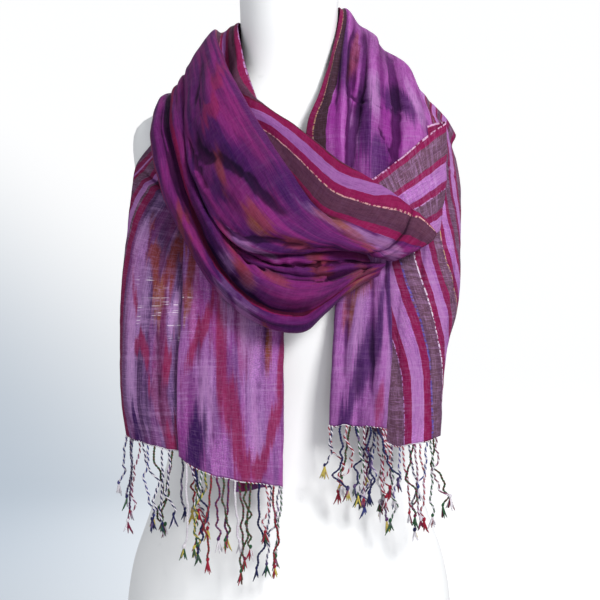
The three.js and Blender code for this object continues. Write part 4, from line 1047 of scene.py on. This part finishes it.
# Two colours of the ground, colours that drift over it and their shares, how much pale weft
# shows, how strongly the dye patches took, and where the ground changes along the warp, its two
# far colours and the metres between which it passes into them
deep = ((violet, magenta), [(indigo_dye_and_shade, 0.45), (rose, 0.16)], 0.06, 0.66)
neck = ((plum, mauve), [(violet, 0.4), (orchid, 0.3)], 0.16, 0.78,
        ((plum_lilac, orchid), 0.22, 0.34))
nape = ((plum, mauve), [(violet, 0.4), (magenta, 0.3)], 0.11, 0.8, ((violet, magenta), 0.0, 0.12))
light = ((lilac, orchid), [(magenta, 0.40), (rose, 0.45), (magenta, 0.4)], 0.26, 0.95)
# The outer left panel's ground is a darker copy of the lilac ground: painted shade on the side that
# faces away from the light
shaded_lilac_ground = ((lilac_painted_shade, slate_lilac_painted_shade), [(magenta, 0.35), (rose, 0.4), (magenta, 0.3)], 0.26, 0.95)
hazy = ((lilac, orchid), [(magenta, 0.35), (rose, 0.4), (plum, 0.4)], 0.26, 0.95)
middle = ((magenta, lilac), [(indigo_dye_and_shade, 0.65), (rose, 0.5), (orchid, 0.4)], 0.14, 0.9)
finishes = {
    "nape_wrap": cloth_finish("ikat_linen_nape", nape_stripes, swag_lines, 3.1, *nape),
    "back_wrap": cloth_finish("ikat_linen_back", swag_stripes, swag_lines, 8.4, *middle),
    "right_border": cloth_finish("striped_linen_right", border_stripes, border_lines, 1.7, *light),
    "right_field": cloth_finish("ikat_linen_right", neck_stripes, neck_lines, 5.2, *neck),
    "left_side": cloth_finish("striped_linen_left", side_stripes, [], 6.6, *shaded_lilac_ground),
    "left_front": cloth_finish("ikat_linen_left", plain_stripes, [], 2.9, *hazy),
    "right_turn": cloth_finish("striped_linen_turn", turn_stripes, turn_lines, 4.3, *light),
    "swag_pleats": cloth_finish("ikat_linen_pleats", pleat_stripes, [], 7.8, *deep),
    "swag_gathers": cloth_finish("ikat_linen_gathers", plain_stripes, [], 9.5, *deep),
    "front_swag": cloth_finish("ikat_linen_swag", swag_stripes, swag_lines, 0.6, *deep),
}
slots = {"right_border": "striped_border", "left_side": "striped_border",
         "right_turn": "striped_border"}

# How far the bundles of warp threads slipped, in millimetres
slips = {"left_front": 15, "left_side": 13, "right_field": 12, "right_border": 10}
usual_slip = 8

# Fringe of each hem: share of the hem where it starts and ends, millimetres between strands,
# shortest and longest strand, seed
fringe_rows = {
    "left_side": (0.02, 1.0, 6.0, (38, 86), 11),
    "left_front": (0.20, 0.80, 5.6, (36, 92), 23),
    "right_field": (0.30, 0.85, 5.2, (34, 80), 31),
    "right_border": (0.08, 0.76, 4.6, (40, 86), 47),
}

# Points for each section and for each column while the stretches are laid over each other, the
# least millimetres from a stretch to the form, and the first seeds of the creases and the slips
rows_each, columns_each = 4, 3
least_clearance = 1.2
carve_seed, slip_seed = 40, 60

# The cloth, from the top layer down, so that each stretch lies under those over it
cloth, grids, covers = {}, {}, []
for seed, (name, sections, threads, clearance) in enumerate(reversed(stretches)):
    table = np.array(sections, float)
    warp = np.broadcast_to(np.array(threads, float), table.shape[:2])
    grid = spread(np.concatenate([table, warp[..., None]], -1), rows_each * (len(table) - 1),
                  columns_each * (table.shape[1] - 1))
    grid[..., :3] = off_form(grid[..., :3], clearance)
    grid = tucked(grid, covers)
    grid[..., :3] = off_form(grid[..., :3], least_clearance)
    covers.append(tree_of(grid))
    along = int(lengths(grid, 0)[-1].max() * MM / grid_step)
    across = int(lengths(grid, 1)[:, -1].max() * MM / grid_step)
    grids[name] = carved(name, spread(grid, along, across), *table.shape[:2], carve_seed + seed)
    cloth[name] = cloth_piece(name, grids[name], finishes[name], slips.get(name, usual_slip),
                              slip_seed + seed)

# Fringe: two plies of yarn twisted on each other, knotted near the end, with a loose tuft.
# Millimetres: radius and distance from the middle of a ply, one full twist.
ply_radius, ply_offset, twist_pitch, ply_sides = 0.72, 0.62, 5.6, 5
yarn_colours = {
    "navy": (0.010, 0.012, 0.075), "white": (0.70, 0.67, 0.72), "red": (0.30, 0.008, 0.030),
    "green": (0.018, 0.085, 0.032), "purple": (0.08, 0.014, 0.11), "grey": (0.28, 0.25, 0.31),
    "blue": (0.03, 0.04, 0.20), "wine": (0.15, 0.009, 0.04), "yellow": (0.52, 0.42, 0.08),
    "brown": (0.10, 0.035, 0.02),
}
dye_numbers = {colour: number for number, colour in enumerate(yarn_colours)}
yarn_pairs = [
    ("navy", "white"), ("red", "white"), ("green", "brown"), ("wine", "green"), ("navy", "white"),
    ("purple", "grey"), ("white", "wine"), ("blue", "white"), ("red", "brown"), ("navy", "navy"),
    ("white", "white"), ("green", "white"), ("purple", "wine"), ("navy", "grey"), ("red", "white"),
    ("yellow", "green"),
]
tuft_colours = [dye_numbers[colour] for colour in ("green", "red", "yellow", "white", "wine")]

# The thread that binds a hem: shares of its colours, points that one colour lasts, and in
# millimetres the distance between points, one full twist, radius of a ply, how far it sags, how
# far it wanders up or down from one point to the next, and the share of that which is kept
bind_colours = {"white": 0.4, "wine": 0.25, "purple": 0.2, "red": 0.15}
bind_run, bind_step, bind_pitch, bind_radius, bind_sag, bind_sides = 9, 1.2, 3.4, 0.5, 0.4, 4
bind_wander, wander_kept = 0.6, 0.35

# A strand: millimetres between its points, how much the usual one is shorter than the longest,
# how many lean together, and how far a strand may lean; the waves of its crooked line, with
# their size in millimetres and their number of half turns, and how slack a strand may be
strand_step, usual_shorter, clump_strands, widest_lean = 1.25, 12, 3.5, 7
strand_waves = ((2.6, 1.1), (2.0, 2.8), (1.3, 5.6), (0.6, 11))
slacknesses = [0.6, 1.1, 1.6, 2.4]
root_jitter = 0.42  # of the distance between two strands

# Rings of a knot, from its top, with x, y, z and radius, and the range of its sizes
knot_rings = np.array([(0, 0, 2.4, 0.7), (0.3, 0, 1.3, 1.6), (0, 0.2, 0, 1.9),
                       (-0.3, 0, -1.3, 1.6), (0, 0, -2.4, 0.8)])
knot_sides = 8
knot_sizes = (0.75, 1.1)

# Yarns of a tuft, in millimetres: radii along one, ranges of their number and reach, how far
# they lean for each millimetre of reach, and where they start under the middle of the knot
tuft_radii = [0.9, 1.0, 0.95, 0.7, 0.3]
tuft_sides = 4
tuft_yarns, tuft_reaches = (6, 12), (5, 13)
tuft_lean = 0.45
tuft_top = -1.5


def tube(points, radii, sides):
    """Points and faces of a closed tube along a line of points."""
    points = np.asarray(points, float)
    ahead = np.gradient(points, axis=0)
    ahead /= np.maximum(np.linalg.norm(ahead, axis=1, keepdims=True), 1e-9)
    aside = np.cross(ahead, (0.31, 0.95, 0.05))
    aside /= np.linalg.norm(aside, axis=1, keepdims=True)
    third = np.cross(ahead, aside)
    angles = np.linspace(0, 2 * math.pi, sides, endpoint=False)
    radii = np.broadcast_to(np.asarray(radii, float), len(points))
    ring = (aside[:, None] * np.cos(angles)[None, :, None]
            + third[:, None] * np.sin(angles)[None, :, None]) * radii[:, None, None]
    faces = []
    for i in range(len(points) - 1):
        for k in range(sides):
            a, b = i * sides + k, i * sides + (k + 1) % sides
            faces.append((a, b, b + sides, a + sides))
    last = (len(points) - 1) * sides
    faces.append(tuple(reversed(range(sides))))
    faces.append(tuple(range(last, last + sides)))
    return (points[:, None] + ring).reshape(-1, 3), faces


def plies(line, length, pitch, offset, plane, start=0):
    """The middle lines of two plies that twist round a line, in the plane of two axes."""
    turns = np.linspace(0, 2 * math.pi * length / pitch, len(line))
    for ply in range(2):
        angle = turns + ply * math.pi + start
        round_line = np.zeros_like(line)
        round_line[:, plane] = np.stack([np.cos(angle), np.sin(angle)], -1)
        yield line + round_line * offset


def strand_line(root, length, lean, random):
    """The middle line of a strand that hangs from its root, more or less crooked."""
    shares = np.linspace(0, 1, int(length / strand_step))
    line = np.repeat(root[None], len(shares), axis=0)
    line[:, 2] -= shares * length
    line[:, 0] += lean * shares ** 1.3
    swing = random.choice(slacknesses) * shares ** 0.7
    for size, waves in strand_waves:
        phases = random.uniform(0, 2 * math.pi, 2)
        for axis, (part, phase) in enumerate(zip((1, 0.7), phases)):
            wave = np.sin(waves * math.pi * shares + phase) - math.sin(phase)
            line[:, axis] += part * size * swing * wave
    return line


def binding_line(hem, length, random):
    """The middle line of the thread along a hem, a little uneven, and its colours."""
    line = through(hem, int(length / bind_step))
    wander = random.uniform(-bind_wander, bind_wander, len(line))
    line[:, 2] += np.cumsum(wander) * wander_kept
    line[:, 2] -= np.linspace(0, line[-1, 2] - hem[-1, 2], len(line)) + bind_sag
    runs = random.choice([dye_numbers[colour] for colour in bind_colours],
                         len(line) // bind_run + 1, p=list(bind_colours.values()))
    return line, np.repeat(runs, bind_run)[:len(line)]


def fringe_piece(name, hem, pitch, lengths_between, seed, finish):
    """All the strands of one hem as one mesh, each yarn with its own dye number."""
    random = np.random.default_rng(seed)
    along = lengths(hem[:, None, :], 0)[:, 0]
    count = int(along[-1] / pitch)
    shortest, longest = lengths_between
    verts, faces, dyes_of = [], [], []

    def add(line, radii, sides, dye):
        """Adds a tube, in one dye or with the dye of each of its rings."""
        start = sum(len(v) for v in verts)
        tube_verts, tube_faces = tube(line, radii, sides)
        verts.append(tube_verts)
        faces.extend([tuple(start + i for i in face) for face in tube_faces])
        dyes_of.append(np.repeat(np.broadcast_to(dye, len(line)), sides))

    bound, colours = binding_line(hem, along[-1], random)
    bound_plies = plies(bound, along[-1], bind_pitch, bind_radius, [1, 2])
    for ply, dye in zip(bound_plies, (dye_numbers["white"], colours)):
        add(ply, bind_radius, bind_sides, dye)

    for n in range(count + 1):
        at = along[-1] * (n + root_jitter * random.uniform(-1, 1) * (0 < n < count)) / count
        root = np.array([np.interp(at, along, hem[:, axis]) for axis in range(3)])
        length = random.triangular(shortest, longest - usual_shorter, longest)
        clump = (round(n / clump_strands) * clump_strands - n) * pitch
        lean = random.uniform(0.1, 1.0) * clump + random.uniform(-4, 4)
        line = strand_line(root, length, min(max(lean, -widest_lean), widest_lean), random)
        pair = [dye_numbers[colour] for colour in yarn_pairs[random.integers(len(yarn_pairs))]]
        for ply, dye in zip(plies(line, length, twist_pitch, ply_offset, [0, 1], n), pair):
            add(ply, ply_radius, ply_sides, dye)
        end = line[-1]
        fat = random.uniform(*knot_sizes)
        add(knot_rings[:, :3] * fat + end, knot_rings[:, 3] * fat, knot_sides, pair[0])
        ends = random.choice([*pair, *pair, *tuft_colours], 2)
        for _ in range(random.integers(*tuft_yarns)):
            reach = random.uniform(*tuft_reaches)
            lean = random.uniform(-tuft_lean, tuft_lean, 2)
            shares = np.linspace(0, 1, len(tuft_radii))
            tuft = np.stack([*(lean[:, None] * reach * shares**1.4), tuft_top - reach * shares],
                            -1)
            add(end + tuft, tuft_radii, tuft_sides, random.choice(ends))
    values = {"dye": np.concatenate(dyes_of).astype(float)}
    return mesh_piece(name, np.concatenate(verts), faces, finish, values)


def yarn_finish():
    """Twisted yarn in several colours, with a fibrous surface."""
    f = Finish("twisted_yarn", roughness=0.82, specular=0.2, sheen=0.15, sheen_tint=(0.9, 0.9, 1))
    count = len(yarn_colours)
    share = f.math("DIVIDE", f.math("ADD", f.attribute("dye"), 0.5), count)
    stops = [(number / count, colour) for number, colour in enumerate(yarn_colours.values())]
    colour = f.ramp(share, stops, "CONSTANT").outputs[0]
    spot = f.node("TexCoord").outputs["Object"]
    fibres = f.noise(spot, 1900, 3)
    patchy = f.noise(spot, 90, 2)
    colour = f.mix(f.smooth(fibres, 0.35, 0.65, 0.35, 0), colour, (0.1, 0.08, 0.12), "MULTIPLY")
    colour = f.mix(f.smooth(patchy, 0.55, 0.7, 0, 0.25), colour, pale_lilac)
    f.fill(f.shader, {
        "Base Color": colour, "Roughness": f.smooth(fibres, 0.3, 0.7, 0.9, 0.7),
        "Normal": f.bump(fibres, 0.5, 0.0003)})
    return f.material


yarn = yarn_finish()
fringes = {}
for name, (start, end, pitch, between, seed) in fringe_rows.items():
    hem = grids[name][-1, :, :3]
    first, last = int(start * (len(hem) - 1)), int(end * (len(hem) - 1))
    fringes[name] = fringe_piece(name + "_strands", hem[first:last + 1], pitch, between, seed, yarn)

# The form: heights of its rings, and how much the rings at its rounded rims are drawn in
form_sides = 96
form_top = int(form_levels[-1, 0])
form_rings = [0, 3, 8, *range(20, form_top, 8), form_top - 6, form_top - 2, form_top]
form_rims = {0: 0.985, 3: 0.996, form_top - 2: 0.985, form_top: 0.955}


def form_point(z, angle):
    """A point of the form's surface at a height, at an angle from +X towards +Y."""
    half_width, front, back, squareness = form_section(np.array(z, float))
    bent = [math.copysign(abs(value) ** (2 / squareness), value)
            for value in (math.cos(angle), math.sin(angle))]
    depth = front if math.sin(angle) < 0 else back
    return Vector((half_width * bent[0], depth * bent[1], z)) * MM


def form_finish():
    """Smooth white lacquer on a moulded shell, with faint unevenness."""
    f = Finish("white_lacquer", roughness=0.42)
    spot = f.node("TexCoord").outputs["Object"]
    grain = f.noise(spot, 900, 2)
    broad = f.noise(spot, 14, 2)
    colour = f.ramp(broad, [(0.3, (0.86, 0.87, 0.88)), (0.7, (0.89, 0.895, 0.90))]).outputs[0]
    scuff = f.smooth(f.noise(spot, 60, 4), 0.66, 0.76, 0, 0.25)
    f.fill(f.shader, {
        "Base Color": f.mix(scuff, colour, (0.66, 0.67, 0.68)),
        "Roughness": f.smooth(broad, 0.3, 0.7, 0.36, 0.5), "Coat Weight": 0.15,
        "Normal": f.bump(grain, 0.08, 0.0004)})
    return f.material


def deselect():
    for piece in bpy.context.selected_objects:
        piece.select_set(False)


def disc(name, sides, radius):
    """A flat disc at the origin, in edit mode with all of it selected."""
    deselect()
    bpy.ops.mesh.primitive_circle_add(vertices=sides, radius=radius, fill_type="NGON")
    piece = bpy.context.active_object
    piece.name = piece.data.name = name
    bpy.ops.object.mode_set(mode="EDIT")
    bpy.ops.mesh.select_all(action="SELECT")
    return piece


def draw_up(height):
    """Pulls the selected face up, with a new wall under its rim."""
    bpy.ops.mesh.extrude_region_move(TRANSFORM_OT_translate={"value": (0, 0, height)})


def smooth_form():
    """The form, drawn up level by level from its flat base, with rounded rims."""
    ring_step = 0.01  # until each ring gets its own height
    form = disc("smooth_dress_form", form_sides, 0.1)
    for _ in form_rings[1:]:
        draw_up(ring_step)
    bpy.ops.object.mode_set(mode="OBJECT")
    order = sorted(form.data.vertices, key=lambda v: (round(v.co.z, 4), math.atan2(v.co.y, v.co.x)))
    for k, vertex in enumerate(order):
        level = form_rings[k // form_sides]
        place = form_point(level, math.atan2(vertex.co.y, vertex.co.x))
        shrink = form_rims.get(level, 1)
        vertex.co = (place.x * shrink, place.y * shrink, place.z)
    bpy.ops.object.mode_set(mode="EDIT")
    bpy.ops.mesh.select_all(action="SELECT")
    bpy.ops.mesh.normals_make_consistent(inside=False)
    bpy.ops.object.mode_set(mode="OBJECT")
    bpy.ops.object.shade_smooth_by_angle(angle=math.radians(40))
    form.data.materials.append(form_finish())
    return form


form = smooth_form()

# Rides and stand-ins
deselect()
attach(form, "root")
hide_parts("dress_form")
for name, piece in cloth.items():
    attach(piece, "root")
    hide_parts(name)
    slots.get(name, "ikat_cloth")
for name, piece in fringes.items():
    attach(piece, "root")
    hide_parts(name + "_fringe")
held = {"left_side": "hung", "left_front": "hung", "right_field": "hung", "right_border": "hung",
        "swag_pleats": "gathered", "swag_gathers": "gathered", "right_turn": "folded"}
for name, piece in cloth.items():
    grid = grids[name]
    width = float(lengths(grid, 1)[:, -1].mean() * MM)
    length = float(lengths(grid, 0)[-1].mean() * MM)
    held.get(name, "draped")

# Camera, light and floor
eye = bpy.data.cameras.new("camera")
eye.sensor_width = 36
eye.lens = eye.sensor_width * -camera_place[1] / frame_width
camera = scene_object("camera", eye)
camera.location = camera_place
camera.rotation_euler = (math.radians(90), 0, 0)
bpy.context.scene.camera = camera

# Lamps: place, what each points at, size, power, colour
chest, hips = (0, 0, 0.5), (0.02, 0, 0.25)
lamps = {
    "key_light": ((1.15, -1.75, 1.5), chest, 0.7, 52, (1, 0.99, 0.98)),
    "side_light": ((-1.5, -1.3, 0.8), chest, 1.2, 2, (0.90, 0.95, 1)),
    "low_light": ((0.15, -1.9, 0.2), hips, 0.8, 3.5, (1, 1, 1)),
    "back_light": ((0.3, 1.7, 1.9), chest, 1.2, 16, (1, 1, 1)),
}
for name, (place, aim, size, power, colour) in lamps.items():
    lamp = bpy.data.lights.new(name, "AREA")
    lamp.size, lamp.energy, lamp.color = size, power, colour
    stand = scene_object(name, lamp)
    stand.location = place
    stand.rotation_euler = (Vector(aim) - Vector(place)).to_track_quat("-Z", "Y").to_euler()

world = bpy.data.worlds.new("pale_room")
world.use_nodes = True
backdrop = world.node_tree.nodes["Background"]
backdrop.inputs["Color"].default_value = (0.95, 0.97, 1.0, 1)
backdrop.inputs["Strength"].default_value = 0.55
bpy.context.scene.world = world
bpy.context.scene.view_settings.view_transform = "Standard"

# The room, in metres: radius of the flat floor, radius of the sweep up from it, height of each
# ring of the wall over the sweep; and the number of rings of the sweep and of the wall
floor_radius, sweep_radius, wall_ring = 2.3, 1.4, 1.2
sweep_rings, wall_rings, room_sides = 12, 2, 96


def room_finish():
    """Matt pale paint that glows by itself, with painted shade: darker and bluer low down and
    towards -X.
    """
    f = Finish("glowing_room_painted_shade", roughness=0.8, specular=0.1)
    spot = f.node("TexCoord").outputs["Object"]
    x, _, z = f.node("SeparateXYZ", spot).outputs
    # Painted shade: darker and bluer towards -X and low down, lighter towards +X and up high
    across = f.math("ADD", x, f.times(z, 1.3))
    painted_light_share = f.smooth(f.math("ADD", across, f.times(f.noise(spot, 0.5, 1), 0.6)), -0.6, 0.8)
    colour = f.mix(painted_light_share, (0.235, 0.27, 0.31), (0.53, 0.53, 0.53))
    # The paint glows by itself in its own colour
    f.fill(f.shader, {"Base Color": colour, "Emission Color": colour, "Emission Strength": 1.2})
    return f.material


def round_room():
    """A flat floor that sweeps up into a wall all round."""
    room = disc("floor", room_sides, floor_radius)
    radius, height = floor_radius, 0
    for ring in range(1, sweep_rings + wall_rings + 1):
        turn = min(ring / sweep_rings, 1) * math.pi / 2
        reach = floor_radius + sweep_radius * math.sin(turn)
        level = sweep_radius * (1 - math.cos(turn)) + wall_ring * max(ring - sweep_rings, 0)
        draw_up(level - height)
        bpy.ops.transform.resize(value=(reach / radius, reach / radius, 1))
        radius, height = reach, level
    bpy.ops.mesh.delete(type="ONLY_FACE")  # the lid
    bpy.ops.object.mode_set(mode="OBJECT")
    room.data.materials.append(room_finish())
    room.visible_diffuse = room.visible_glossy = room.visible_shadow = False
    bpy.ops.object.shade_smooth_by_angle(angle=math.radians(60))
    return room


round_room()
